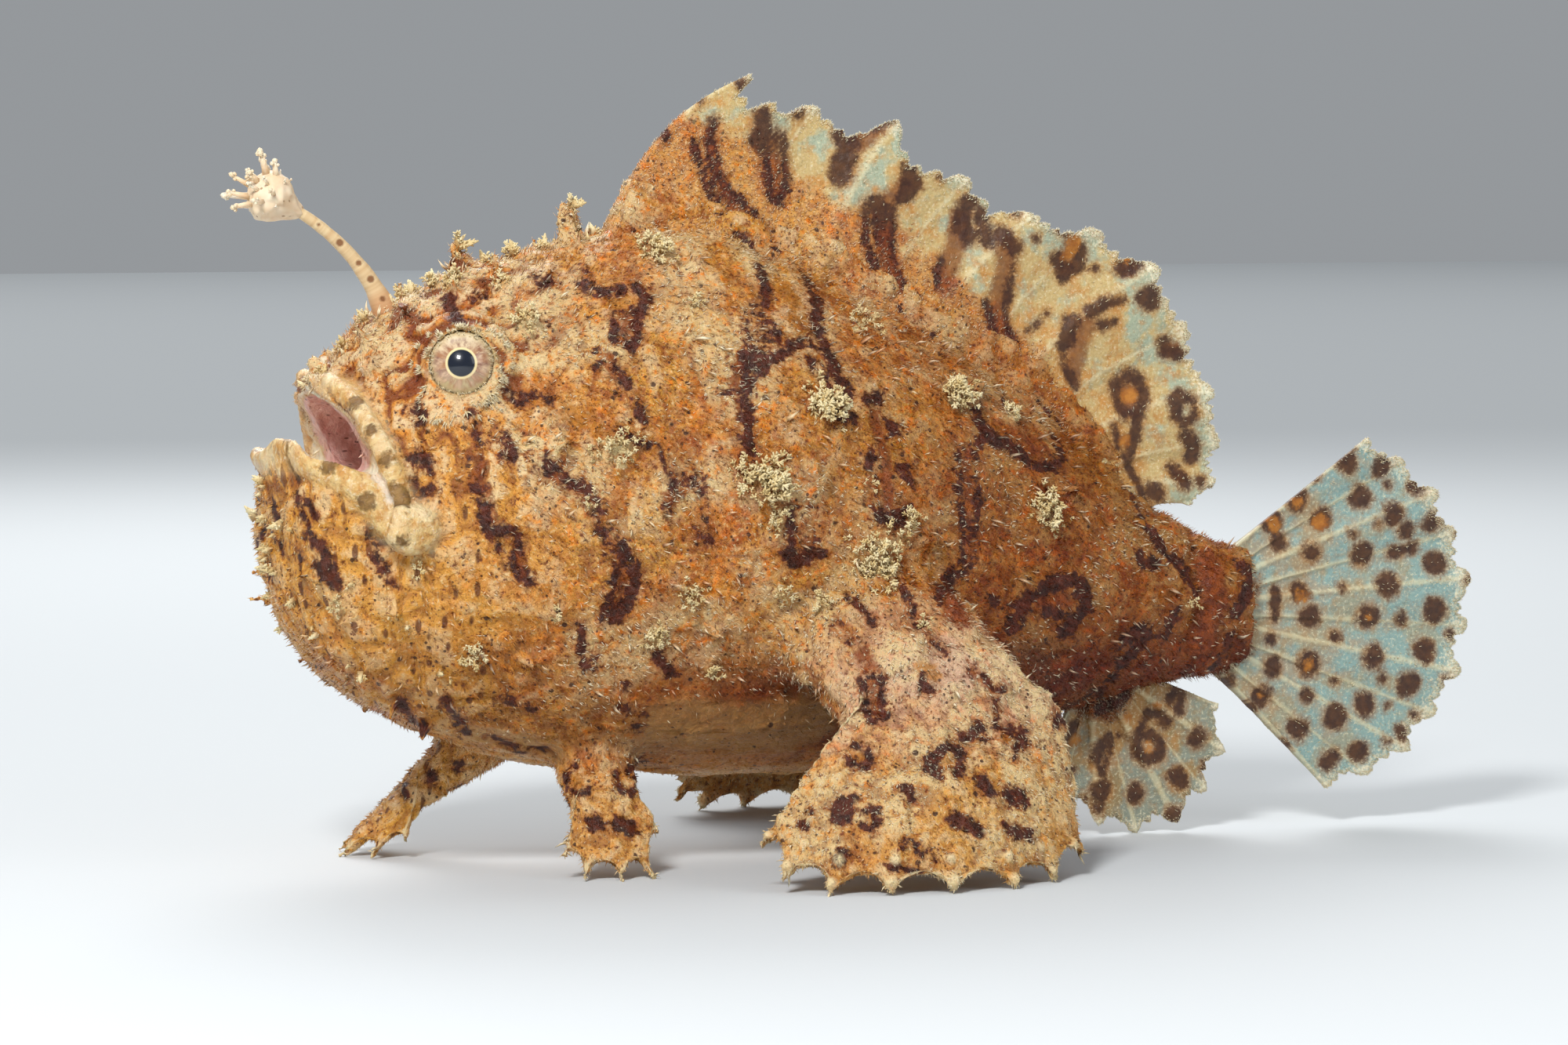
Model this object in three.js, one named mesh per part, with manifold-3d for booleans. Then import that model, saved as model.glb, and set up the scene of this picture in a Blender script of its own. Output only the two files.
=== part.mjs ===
// A frogfish at life size, standing on its limb-like fins with its lure raised.
// Millimetres, +Z up. The head points to -X and the left side faces -Y.
import * as THREE from "three";
import { mergeVertices } from "three/addons/utils/BufferGeometryUtils.js";
import Module from "manifold-3d";

const wasm = await Module();
wasm.setup();

// The clear gap left between pieces that touch.
const GAP = 0.3;
const UP = new THREE.Vector3(0, 0, 1);
const LEFT = -1;
const RIGHT = 1;

// One seeded stream of numbers from 0 to 1, so that the skin tags vary the same way each time.
let seed = 20417;
function random() {
  seed = (seed * 16807) % 2147483647;
  return seed / 2147483647;
}

function vary(value, share) {
  return value * (1 + share * (2 * random() - 1));
}

function mix(a, b, share) {
  return a + (b - a) * share;
}

// Closed solids from points and triangles, turned outside in where they came out inverted.
function solidFrom(points, triangles) {
  const position = new Float32Array(points.flatMap((p) => [p.x, p.y, p.z]));
  const geometry = new THREE.BufferGeometry();
  geometry.setAttribute("position", new THREE.BufferAttribute(position, 3));
  geometry.setIndex(triangles.flat());
  return solidOf(geometry);
}

function solidOf(geometry) {
  const bare = geometry.clone();
  bare.deleteAttribute("normal");
  bare.deleteAttribute("uv");
  const merged = mergeVertices(bare, 1e-4);
  const made = (triVerts) =>
    new wasm.Manifold(
      new wasm.Mesh({
        numProp: 3,
        vertProperties: new Float32Array(merged.attributes.position.array),
        triVerts,
      }),
    );
  const triVerts = new Uint32Array(merged.index.array);
  const solid = made(triVerts);
  if (solid.volume() > 0) return solid;
  for (let i = 0; i < triVerts.length; i += 3) {
    [triVerts[i + 1], triVerts[i + 2]] = [triVerts[i + 2], triVerts[i + 1]];
  }
  return made(triVerts);
}

function joined(solids) {
  return solids.reduce((sum, next) => sum.add(next));
}

// The largest closed surface of a solid, without loose scraps or sealed hollows.
function largest(solid) {
  return solid.decompose().reduce((best, next) => (next.volume() > best.volume() ? next : best));
}

function geometryOf(solid) {
  const { numProp, numVert, vertProperties, triVerts } = solid.getMesh();
  const position = new Float32Array(numVert * 3);
  for (let i = 0; i < numVert; i += 1) {
    position.set(vertProperties.subarray(i * numProp, i * numProp + 3), i * 3);
  }
  const geometry = new THREE.BufferGeometry();
  geometry.setAttribute("position", new THREE.BufferAttribute(position, 3));
  geometry.setIndex(new THREE.BufferAttribute(new Uint32Array(triVerts), 1));
  geometry.computeVertexNormals();
  return geometry;
}

function middleOf(ring) {
  const sum = ring.reduce((a, p) => a.add(p), new THREE.Vector3());
  return sum.multiplyScalar(1 / ring.length);
}

// An oval ring of points round a centre, in the plane of two directions.
function ovalRing(centre, across, through, wide, thick, sides) {
  const ring = [];
  for (let j = 0; j < sides; j += 1) {
    const angle = (2 * Math.PI * j) / sides;
    const point = centre.clone().addScaledVector(across, wide * Math.cos(angle));
    ring.push(point.addScaledVector(through, thick * Math.sin(angle)));
  }
  return ring;
}

// A closed skin over a row of rings that hold the same number of points.
function loft(rings) {
  const sides = rings[0].length;
  const points = [...rings.flat(), middleOf(rings[0]), middleOf(rings.at(-1))];
  const [start, end] = [points.length - 2, points.length - 1];
  const lastRing = (rings.length - 1) * sides;
  const triangles = [];
  for (let j = 0; j < sides; j += 1) {
    const k = (j + 1) % sides;
    triangles.push([start, k, j], [end, lastRing + j, lastRing + k]);
    for (let i = 0; i < lastRing; i += sides) {
      triangles.push([i + j, i + k, i + sides + k], [i + j, i + sides + k, i + sides + j]);
    }
  }
  return solidFrom(points, triangles);
}

// A smooth row of numbers between the given rows, with share running from 0 to 1 over all of them.
function betweenRows(rows, share) {
  const place = share * (rows.length - 1);
  const i = Math.min(Math.floor(place), rows.length - 2);
  const f = place - i;
  const row = (k) => rows[Math.max(0, Math.min(rows.length - 1, i + k))];
  return row(0).map((b, n) => {
    const [a, c, d] = [row(-1)[n], row(1)[n], row(2)[n]];
    return b + 0.5 * f * (c - a + f * (2 * a - 5 * b + 4 * c - d + f * (3 * (b - c) + d - a)));
  });
}

// Body: a deep, blunt-faced trunk that narrows to a flat tail stalk.
// Each station is: place along X, height of the back, of the belly, of the widest level, half width.
const BODY_STATIONS = [
  [-68.6, 46.2, 42.6, 44.5, 1.6],
  [-67.7, 51.4, 36.6, 44.2, 7.6],
  [-65.4, 55.8, 30.2, 43.6, 12.5],
  [-61.0, 61.8, 23.9, 43.2, 16.0],
  [-54.5, 69.4, 19.1, 43.2, 18.5],
  [-45.0, 74.0, 15.0, 43.2, 20.4],
  [-34.0, 77.2, 12.0, 42.0, 22.0],
  [-22.0, 80.0, 10.6, 41.0, 23.0],
  [-8.0, 78.6, 9.8, 40.0, 22.8],
  [6.0, 73.0, 10.4, 38.5, 20.8],
  [20.0, 65.8, 12.8, 37.0, 17.2],
  [34.0, 56.6, 15.4, 34.5, 12.8],
  [46.0, 47.2, 18.0, 32.0, 8.6],
  [55.0, 40.4, 20.0, 30.0, 5.8],
  [61.5, 38.4, 20.6, 29.5, 4.6],
  [65.0, 37.6, 21.4, 29.5, 3.4],
];
const BODY_RINGS = 40;
const BODY_SIDES = 36;
const FRONT_CROWDING = 1.3; // rings stand closer together towards the blunt face
const BACK_SHARPNESS = 1.12;
const BELLY_FULLNESS = 0.85;

function bodyRow(share, grow) {
  const [x, top, bottom, widest, half] = betweenRows(BODY_STATIONS, share);
  return [x, top + grow, bottom - grow, widest, half + grow];
}

function bodyPoint([x, top, bottom, widest, half], angle) {
  const [across, high] = [Math.sin(angle), Math.cos(angle)];
  const power = high > 0 ? BACK_SHARPNESS : BELLY_FULLNESS;
  const y = half * Math.sign(across) * Math.abs(across) ** power;
  return new THREE.Vector3(x, y, widest + high * (high > 0 ? top - widest : widest - bottom));
}

function bodySolid(grow) {
  const rings = [];
  for (let i = 0; i <= BODY_RINGS; i += 1) {
    const share = (i / BODY_RINGS) ** FRONT_CROWDING;
    const row = bodyRow(share, grow);
    row[0] += grow * (2 * share - 1);
    const ring = [];
    for (let j = 0; j < BODY_SIDES; j += 1) ring.push(bodyPoint(row, (2 * Math.PI * j) / BODY_SIDES));
    rings.push(ring);
  }
  return loft(rings);
}

function rowAt(x) {
  let [low, high] = [0, 1];
  for (let i = 0; i < 30; i += 1) {
    const middle = (low + high) / 2;
    if (bodyRow(middle, 0)[0] < x) low = middle;
    else high = middle;
  }
  return bodyRow(low, 0);
}

// A place on the body's skin by its X and its angle from the back, with the outward direction there.
function onBody(x, angle) {
  const step = 0.6;
  const at = bodyPoint(rowAt(x), angle);
  const along = bodyPoint(rowAt(x + step), angle).sub(bodyPoint(rowAt(x - step), angle));
  const round = bodyPoint(rowAt(x), angle + 0.05).sub(bodyPoint(rowAt(x), angle - 0.05));
  const out = round.cross(along).normalize();
  const middle = new THREE.Vector3(x, 0, rowAt(x)[3]);
  if (out.dot(at.clone().sub(middle)) < 0) out.negate();
  return { at, out };
}

// The angle from the back, on one side, of the skin at height z.
function angleAt(x, z, side) {
  const [, top, bottom, widest] = rowAt(x);
  const high = z > widest ? (z - widest) / (top - widest) : (z - widest) / (widest - bottom);
  return side * Math.acos(Math.max(-1, Math.min(1, high)));
}

// Tapered limbs: oval rings along a smooth line, with their flat side set by a named direction.
const LIMB_SIDES = 16;

function limb(stations, flatWay, grow, rings) {
  const path = new THREE.CatmullRomCurve3(stations.map((s) => s.at));
  const sizes = stations.map((s) => [s.wide, s.thick]);
  const made = [];
  for (let i = 0; i <= rings; i += 1) {
    const share = i / rings;
    const along = path.getTangent(share);
    const across = flatWay.clone().addScaledVector(along, -flatWay.dot(along)).normalize();
    const through = along.clone().cross(across);
    const [wide, thick] = betweenRows(sizes, share);
    const centre = path.getPoint(share).addScaledVector(along, grow * (2 * share - 1));
    made.push(ovalRing(centre, across, through, wide + grow, thick + grow, LIMB_SIDES));
  }
  return loft(made);
}

// Fins: a web stretched between rays, each ray a ridge on both faces whose tip stands past the web.
// A ray is a bent line from its root to its tip. All sizes are half thicknesses, in millimetres.
const RAY_COLUMNS = [0, 0.2, 0.5, 0.8]; // shares of the way from one ray to the next
const WEB_CUT = [0, 0.8, 1, 0.8]; // how much of the notch is cut away at each of them
const RAY_THINNING = 0.55; // of a ray's thickness, lost at its tip

function ray(root, bend, tip) {
  return new THREE.QuadraticBezierCurve3(root, bend, tip);
}

function fin(rays, { web, ridge, root, rootShare, notch, rows }) {
  const columns = [];
  rays.forEach((line, i) => {
    const next = rays[i + 1];
    RAY_COLUMNS.slice(0, next ? undefined : 1).forEach((share, k) => {
      const reach = 1 - notch * WEB_CUT[k];
      const column = [];
      for (let r = 0; r <= rows; r += 1) {
        const v = (r / rows) * reach;
        const at = line.getPoint(v);
        if (next) at.lerp(next.getPoint(v), share);
        const base = root * Math.max(0, 1 - v / rootShare) ** 2;
        const half = k === 0 ? ridge * (1 - RAY_THINNING * v) : web;
        column.push({ at, half: half + base });
      }
      columns.push(column);
    });
  });
  const across = (c, r) => columns[Math.max(0, Math.min(columns.length - 1, c))][r].at;
  const along = (c, r) => columns[c][Math.max(0, Math.min(rows, r))].at;
  const faces = [[], []];
  columns.forEach((column, c) => {
    column.forEach(({ at, half }, r) => {
      const side = across(c + 1, r).clone().sub(across(c - 1, r));
      const out = along(c, r + 1).clone().sub(along(c, r - 1)).cross(side).normalize();
      faces[0].push(at.clone().addScaledVector(out, half));
      faces[1].push(at.clone().addScaledVector(out, -half));
    });
  });
  return solidFrom(faces.flat(), sheetTriangles(columns.length, rows + 1));
}

// Two grids of points, one behind the other, split alike and closed by a wall round the rim.
function sheetTriangles(across, along) {
  const back = across * along;
  const triangles = [];
  const index = (c, r) => c * along + r;
  for (let c = 0; c < across - 1; c += 1) {
    for (let r = 0; r < along - 1; r += 1) {
      const [a, b, d, e] = [index(c, r), index(c + 1, r), index(c + 1, r + 1), index(c, r + 1)];
      triangles.push([a, b, d], [a, d, e]);
      triangles.push([back + a, back + d, back + b], [back + a, back + e, back + d]);
    }
  }
  const rim = [];
  for (let c = 0; c < across - 1; c += 1) rim.push(index(c, 0));
  for (let r = 0; r < along - 1; r += 1) rim.push(index(across - 1, r));
  for (let c = across - 1; c > 0; c -= 1) rim.push(index(c, along - 1));
  for (let r = along - 1; r > 0; r -= 1) rim.push(index(0, r));
  rim.forEach((a, i) => {
    const b = rim[(i + 1) % rim.length];
    triangles.push([b, a, back + a], [b, back + a, back + b]);
  });
  return triangles;
}

// Flat cuts: a box turned to lie along a line in the side view, right across the body.
const CUT_SPAN = 80;

function slab([x0, z0], [x1, z1], thickness) {
  const length = Math.hypot(x1 - x0, z1 - z0) + thickness;
  const box = new THREE.BoxGeometry(length, CUT_SPAN, thickness);
  box.rotateY(-Math.atan2(z1 - z0, x1 - x0));
  box.translate((x0 + x1) / 2, 0, (z0 + z1) / 2);
  return solidOf(box);
}

function sideProfile(points, from, to) {
  const shape = new THREE.Shape(points.map(([x, z]) => new THREE.Vector2(x, z)));
  const geometry = new THREE.ExtrudeGeometry(shape, { depth: to - from, bevelEnabled: false });
  geometry.rotateX(Math.PI / 2);
  geometry.translate(0, to, 0);
  return solidOf(geometry);
}

function floorCut(solid) {
  const box = new THREE.BoxGeometry(400, 400, 40);
  box.translate(0, 0, -20);
  return solid.subtract(solidOf(box));
}

// Mouth: a steep gape that opens up and forward, over a crease that runs down to the corner.
// Points are X and Z in the side view.
const GAPE_CORNER = [-57.4, 50.0];
const GAPE_ROOF = [
  [-58.3, 53.2],
  [-59.8, 56.2],
  [-61.6, 58.6],
  [-64.0, 60.0],
];
const GAPE_FLOOR = [
  [-60.2, 50.3],
  [-63.2, 51.5],
  [-66.2, 52.2],
];
const OUTSIDE = [
  [-73.0, 61.5],
  [-76.0, 52.4],
];
const THROAT = { at: [-57.5, 0, 54.0], reach: [9.5, 8.4, 3.9], tilt: 0.5 };
const UPPER_LIP = {
  line: [
    [-55.2, 42.4],
    [-55.2, 45.2],
    [-55.5, 48.0],
    [-56.5, 51.2],
    [-57.8, 54.2],
    [-59.4, 57.2],
    [-61.0, 59.6],
  ],
  front: [-62.6, 61.0],
  radius: 1.35,
};
const LOWER_LIP = {
  line: [
    [-55.9, 42.2],
    [-57.2, 44.2],
    [-58.6, 46.8],
    [-60.6, 48.9],
    [-63.2, 50.7],
    [-65.6, 51.7],
  ],
  front: [-67.5, 51.9],
  radius: 2.15,
};
const LIP_SUNK = 0.35; // of the lip's radius, below the skin
const LIP_THINNING = 0.35; // of its radius, lost at each end
const LIP_SIDES = 8;
const LIP_STEPS = 22;
const CORNER_PAD = { at: [-53.9, 43.0], reach: [4.0, 1.5, 3.5] };
const PAD_FACETS = { around: 12, down: 6 };
const THROAT_FACETS = { around: 14, down: 8 };

function gape() {
  const around = [GAPE_CORNER, ...GAPE_ROOF, ...OUTSIDE, ...[...GAPE_FLOOR].reverse()];
  return sideProfile(around, -CUT_SPAN / 2, CUT_SPAN / 2);
}

function egg([x, y, z], [rx, ry, rz], tilt, { around, down }) {
  const ball = new THREE.SphereGeometry(1, around, down);
  ball.scale(rx, ry, rz);
  ball.rotateY(tilt);
  ball.translate(x, y, z);
  return solidOf(ball);
}

// A lip runs round its jaw from corner to corner, thick in front and thin at the ends.
function lip({ line, front, radius }) {
  const places = line.map(([x, z]) => {
    const y = Math.abs(onBody(x, angleAt(x, z, LEFT)).at.y) - LIP_SUNK * radius;
    return [x, y, z];
  });
  const sideOf = (side) => places.map(([x, y, z]) => new THREE.Vector3(x, side * y, z));
  const tip = new THREE.Vector3(front[0] + LIP_SUNK * radius, 0, front[1]);
  const path = new THREE.CatmullRomCurve3([...sideOf(LEFT), tip, ...sideOf(RIGHT).reverse()]);
  const frames = path.computeFrenetFrames(LIP_STEPS, false);
  const rings = [];
  for (let i = 0; i <= LIP_STEPS; i += 1) {
    const share = i / LIP_STEPS;
    const size = radius * (1 - LIP_THINNING * (2 * share - 1) ** 2);
    const centre = path.getPointAt(share);
    rings.push(ovalRing(centre, frames.normals[i], frames.binormals[i], size, size, LIP_SIDES));
  }
  return loft(rings);
}

function cornerPad(side) {
  const [x, z] = CORNER_PAD.at;
  const { at } = onBody(x, angleAt(x, z, side));
  return egg([x, at.y, z], CORNER_PAD.reach, 0, PAD_FACETS);
}

// Eyes: small balls high on the head, each in a low round mound with a raised rim.
const EYE_X = -47.0;
const EYE_Z = 63.4;
const EYE_RADIUS = 4.4;
const EYE_SUNK = 1.4; // from the skin to the ball's centre
const EYE_LOOK = new THREE.Vector3(-0.3, 0.93, 0.22).normalize();
const EYE_FACETS = { around: 16, down: 11 };
const RIM_SIDES = 18;
const RIM_PROFILE = [
  [0.0, -4.5],
  [8.0, -4.5],
  [7.5, -1.9],
  [6.7, 0.1],
  [5.8, 1.1],
  [4.9, 1.5],
  [4.2, 1.35],
  [0.0, 1.35],
];

function eyeFrame(side) {
  const look = EYE_LOOK.clone();
  look.y *= side;
  const { at } = onBody(EYE_X, angleAt(EYE_X, EYE_Z, side));
  return { at, look, centre: at.clone().addScaledVector(look, -EYE_SUNK) };
}

function eyeBall(side, radius) {
  const ball = new THREE.SphereGeometry(radius, EYE_FACETS.around, EYE_FACETS.down);
  const { centre } = eyeFrame(side);
  ball.translate(centre.x, centre.y, centre.z);
  return solidOf(ball);
}

function eyeMound(side) {
  const profile = RIM_PROFILE.map(([r, h]) => new THREE.Vector2(r, h));
  const mound = new THREE.LatheGeometry(profile, RIM_SIDES);
  const { at, look } = eyeFrame(side);
  const turn = new THREE.Quaternion().setFromUnitVectors(new THREE.Vector3(0, 1, 0), look);
  mound.applyQuaternion(turn);
  mound.translate(at.x, at.y, at.z);
  return solidOf(mound);
}

// Skin tags: small cones of skin that lean back and up, sunk in the surface that they grow from.
const TAG_SIDES = 4;
const TAG_SUNK = 1.2;
const TAG_LEAN = new THREE.Vector3(0.18, 0.09, 0.21);
const TAG_WAIST = { height: 0.45, radius: 0.8 }; // shares of the tag's height and radius
const TAG_TIP = 0.25; // of its radius
const TAG_ACROSS = new THREE.Vector3(1, 0.3, 0.2);

function tag(x, angle, height, radius) {
  const { at, out } = onBody(x, angle);
  const lean = new THREE.Vector3(vary(TAG_LEAN.x, 1), vary(TAG_LEAN.y, 1), vary(TAG_LEAN.z, 0.6));
  const tip = out.clone().add(lean).normalize();
  const across = TAG_ACROSS.clone().cross(out).normalize();
  const through = across.clone().cross(out);
  const ring = (way, reach, size) => {
    const centre = at.clone().addScaledVector(way, reach);
    return ovalRing(centre, across, through, size, size, TAG_SIDES);
  };
  return loft([
    ring(out, -TAG_SUNK, radius),
    ring(tip, TAG_WAIST.height * height, TAG_WAIST.radius * radius),
    ring(tip, height, TAG_TIP * radius),
  ]);
}

// Tags stand in a double row over the crown, down the chin, and scattered over the flanks.
// Two larger flaps on the middle line are the short second and third spines of the back.
const CROWN_TAGS = 12;
const CROWN_FROM = -60.5;
const CROWN_TO = -29.0;
const CROWN_TAG = { angle: 0.34, height: 2.4, radius: 1.1 };
const CHIN_TAGS = 12;
const CHIN_FROM = -66.6;
const CHIN_TO = -50.0;
const CHIN_ROWS_FROM = 1.1; // half the angle between the two rows, at the lip
const CHIN_ROWS_TO = 0.45; // and under the throat
const CHIN_TAG = { height: 2.0, radius: 0.9 };
const FLANK_TAG = { height: 1.7, radius: 1.7 };
const SPINE_FLAPS = [
  { x: -43.0, height: 3.4, radius: 2.4 },
  { x: -28.5, height: 4.4, radius: 2.6 },
];
const FLANK_TAGS = [
  [-56.0, 33.0],
  [-39.5, 26.5],
  [-15.0, 74.5],
  [-17.0, 30.0],
  [-3.0, 49.0],
  [4.5, 58.5],
  [12.0, 40.0],
  [22.5, 59.0],
  [35.5, 45.0],
  [-36.0, 54.0],
  [-38.5, 68.5],
];

function tags() {
  const made = SPINE_FLAPS.map(({ x, height, radius }) => tag(x, 0, height, radius));
  for (let i = 0; i < CROWN_TAGS; i += 1) {
    const x = mix(CROWN_FROM, CROWN_TO, (i + 0.4 * random()) / (CROWN_TAGS - 1));
    const angle = (i % 2 ? LEFT : RIGHT) * vary(CROWN_TAG.angle, 0.35);
    made.push(tag(x, angle, vary(CROWN_TAG.height, 0.35), vary(CROWN_TAG.radius, 0.2)));
  }
  for (let i = 0; i < CHIN_TAGS; i += 1) {
    const share = i / (CHIN_TAGS - 1);
    const x = mix(CHIN_FROM, CHIN_TO, share ** 1.6);
    const angle = (i % 2 ? LEFT : RIGHT) * (Math.PI - vary(mix(CHIN_ROWS_FROM, CHIN_ROWS_TO, share), 0.3));
    made.push(tag(x, angle, vary(CHIN_TAG.height, 0.3), vary(CHIN_TAG.radius, 0.2)));
  }
  for (const side of [LEFT, RIGHT]) {
    for (const [x, z] of FLANK_TAGS) {
      const angle = angleAt(x, vary(z, 0.02), side);
      made.push(tag(x, angle, vary(FLANK_TAG.height, 0.3), vary(FLANK_TAG.radius, 0.2)));
    }
  }
  return made;
}

// Nostrils: one short tube on each side of the snout, with a pit in its end.
const NOSTRIL_X = -57.0;
const NOSTRIL_Z = 63.0;
const NOSTRIL_SIDES = 10;
const NOSTRIL_PROFILE = [[0, -1.5], [1.5, -1.5], [1.3, 0.6], [1.0, 1.5], [0.5, 1.5], [0.4, 0.5], [0, 0.5]];

function nostril(side) {
  const { at, out } = onBody(NOSTRIL_X, angleAt(NOSTRIL_X, NOSTRIL_Z, side));
  const turn = new THREE.Quaternion().setFromUnitVectors(new THREE.Vector3(0, 1, 0), out);
  const profile = NOSTRIL_PROFILE.map(([r, h]) => new THREE.Vector2(r, h));
  const tube = new THREE.LatheGeometry(profile, NOSTRIL_SIDES);
  tube.applyQuaternion(turn);
  tube.translate(at.x, at.y, at.z);
  return solidOf(tube);
}

// Lure: a banded rod on the snout, and a soft ball with fingers that reach forward.
const ROD_LINE = [
  [-51.8, 0, 67.0],
  [-54.2, 0, 72.6],
  [-57.2, 0, 76.6],
  [-60.4, 0, 79.8],
  [-64.6, 0, 82.4],
].map((p) => new THREE.Vector3(...p));
const ROD_SIZES = [2.8, 1.5, 0.9, 0.75, 0.65];
const LURE_CENTRE = new THREE.Vector3(-67.0, 0, 83.6);
const LURE_RADIUS = 3.6;
const LURE_FACETS = { around: 14, down: 10 };
const LURE_FACING = new THREE.Vector3(-0.86, 0, 0.5).normalize();
const LURE_FINGERS = 13;
const FINGER = { reach: 3.2, radius: 0.62, tip: 0.55, sunk: 1.0 };
const FINGER_SPREAD = 0.9; // of a half ball, the share that carries fingers
const FINGER_TURN = 2.399; // from one finger to the next, so that they fill the ball evenly
const ROD_RINGS = 12;

function rod(grow) {
  const stations = ROD_LINE.map((at, i) => ({ at, wide: ROD_SIZES[i], thick: ROD_SIZES[i] }));
  return limb(stations, new THREE.Vector3(0, 1, 0), grow, ROD_RINGS);
}

function finger(way) {
  const base = LURE_CENTRE.clone().addScaledVector(way, LURE_RADIUS - FINGER.sunk);
  const tip = base.clone().addScaledVector(way, vary(FINGER.reach, 0.2)).addScaledVector(UP, vary(0.4, 1));
  const across = UP.clone().cross(way).normalize();
  const through = across.clone().cross(way);
  const radius = vary(FINGER.radius, 0.12);
  const ring = (centre, size) => ovalRing(centre, across, through, size, size, TAG_SIDES);
  return loft([ring(base, radius), ring(tip, FINGER.tip * radius)]);
}

// The fingers sit on a spiral over the half of the ball that faces forward and up.
function lure() {
  const ball = new THREE.SphereGeometry(LURE_RADIUS, LURE_FACETS.around, LURE_FACETS.down);
  ball.translate(LURE_CENTRE.x, LURE_CENTRE.y, LURE_CENTRE.z);
  const facing = new THREE.Quaternion().setFromUnitVectors(UP, LURE_FACING);
  const fingers = [];
  for (let i = 0; i < LURE_FINGERS; i += 1) {
    const lower = Math.acos(1 - (FINGER_SPREAD * (i + 0.5)) / LURE_FINGERS);
    const way = new THREE.Vector3().setFromSphericalCoords(1, lower, i * FINGER_TURN);
    way.set(way.x, way.z, way.y).applyQuaternion(facing);
    fingers.push(finger(way));
  }
  return joined([solidOf(ball), ...fingers]).subtract(rod(GAP));
}

// Dorsal sail: a tall fleshy leading ray, then rays that lean back, ending above the tail stalk.
// Each ray is: root X, root Z, tip X, tip Z, how far the tip sways to the side.
const SAIL_RAYS = [
  [-24.5, 76.5, -3.9, 99.0, 0.0],
  [-6.5, 74.5, 4.6, 95.3, 0.6],
  [3.0, 70.5, 15.4, 93.3, -0.4],
  [11.0, 67.0, 25.6, 86.0, 0.6],
  [18.0, 63.5, 34.4, 81.2, -0.4],
  [24.0, 60.0, 43.8, 79.3, 0.5],
  [29.0, 56.8, 51.8, 74.4, -0.3],
  [33.5, 53.4, 56.6, 66.0, 0.6],
  [37.5, 50.2, 59.8, 57.8, 0.0],
  [41.5, 47.0, 61.0, 51.0, 0.4],
  [45.0, 44.0, 60.2, 45.6, 0.0],
  [48.5, 41.5, 56.6, 43.2, 0.0],
];
const SAIL = { web: 0.42, ridge: 0.95, root: 2.6, rootShare: 0.5, notch: 0.12, rows: 5 };
const LEADING_BOW = 6.8; // how far the first ray bows up
const SAIL_BOW = 2.2; // and the rays behind it
const BOW_FORWARD = 0.7; // of the bow up

function sail() {
  const rays = SAIL_RAYS.map(([x0, z0, x1, z1, sway], i) => {
    const root = new THREE.Vector3(x0, 0, z0);
    const tip = new THREE.Vector3(x1, sway, z1);
    const bow = i === 0 ? LEADING_BOW : SAIL_BOW;
    const bend = root.clone().lerp(tip, 0.5).add(new THREE.Vector3(-BOW_FORWARD * bow, 0.6 * sway, bow));
    return ray(root, bend, tip);
  });
  return fin(rays, SAIL);
}

// Tail fin and anal fin: fans of rays whose length follows from their angle.
const TAIL_RAYS = 11;
const TAIL_PIVOT = [52.0, 29.5];
const TAIL_TOP = 36;
const TAIL_BOTTOM = -45;
const TAIL_REACH = 46.0;
const TAIL_LONGEST = -2; // the direction of its longest ray, in degrees above level
const TAIL_ROUNDING = 0.006; // millimetres lost for each square degree from the longest ray
const TAIL_ROOT = 9.5;
const TAIL = { web: 0.4, ridge: 0.85, root: 1.5, rootShare: 0.45, notch: 0.06, rows: 4 };
const ANAL_RAYS = 8;
const ANAL_PIVOT = [42.0, 24.0];
const ANAL_FRONT = -112;
const ANAL_BACK = -22;
const ANAL_ROOT = 2.5;
const ANAL_REACH = 26.4;
const ANAL_LONGEST = -58;
const ANAL_ROUNDING = 0.0045;
const ANAL = { web: 0.42, ridge: 0.85, root: 1.4, rootShare: 0.6, notch: 0.08, rows: 4 };
const FIN_SWAY = 0.5;

function fan(count, [px, pz], from, to, reachAt, near, form) {
  const rays = [];
  for (let i = 0; i < count; i += 1) {
    const degrees = mix(from, to, i / (count - 1));
    const angle = (degrees * Math.PI) / 180;
    const place = (r, y) => new THREE.Vector3(px + r * Math.cos(angle), y, pz + r * Math.sin(angle));
    const sway = FIN_SWAY * (i % 2 ? 1 : -1);
    const far = reachAt(degrees);
    rays.push(ray(place(near, 0), place((near + far) / 2, 0.5 * sway), place(far, sway)));
  }
  return fin(rays, form);
}

function tailFin() {
  const reach = (degrees) => TAIL_REACH - TAIL_ROUNDING * (degrees - TAIL_LONGEST) ** 2;
  return fan(TAIL_RAYS, TAIL_PIVOT, TAIL_TOP, TAIL_BOTTOM, reach, TAIL_ROOT, TAIL);
}

function analFin() {
  const reach = (degrees) => ANAL_REACH - ANAL_ROUNDING * (degrees - ANAL_LONGEST) ** 2;
  return fan(ANAL_RAYS, ANAL_PIVOT, ANAL_FRONT, ANAL_BACK, reach, ANAL_ROOT, ANAL);
}

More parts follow.
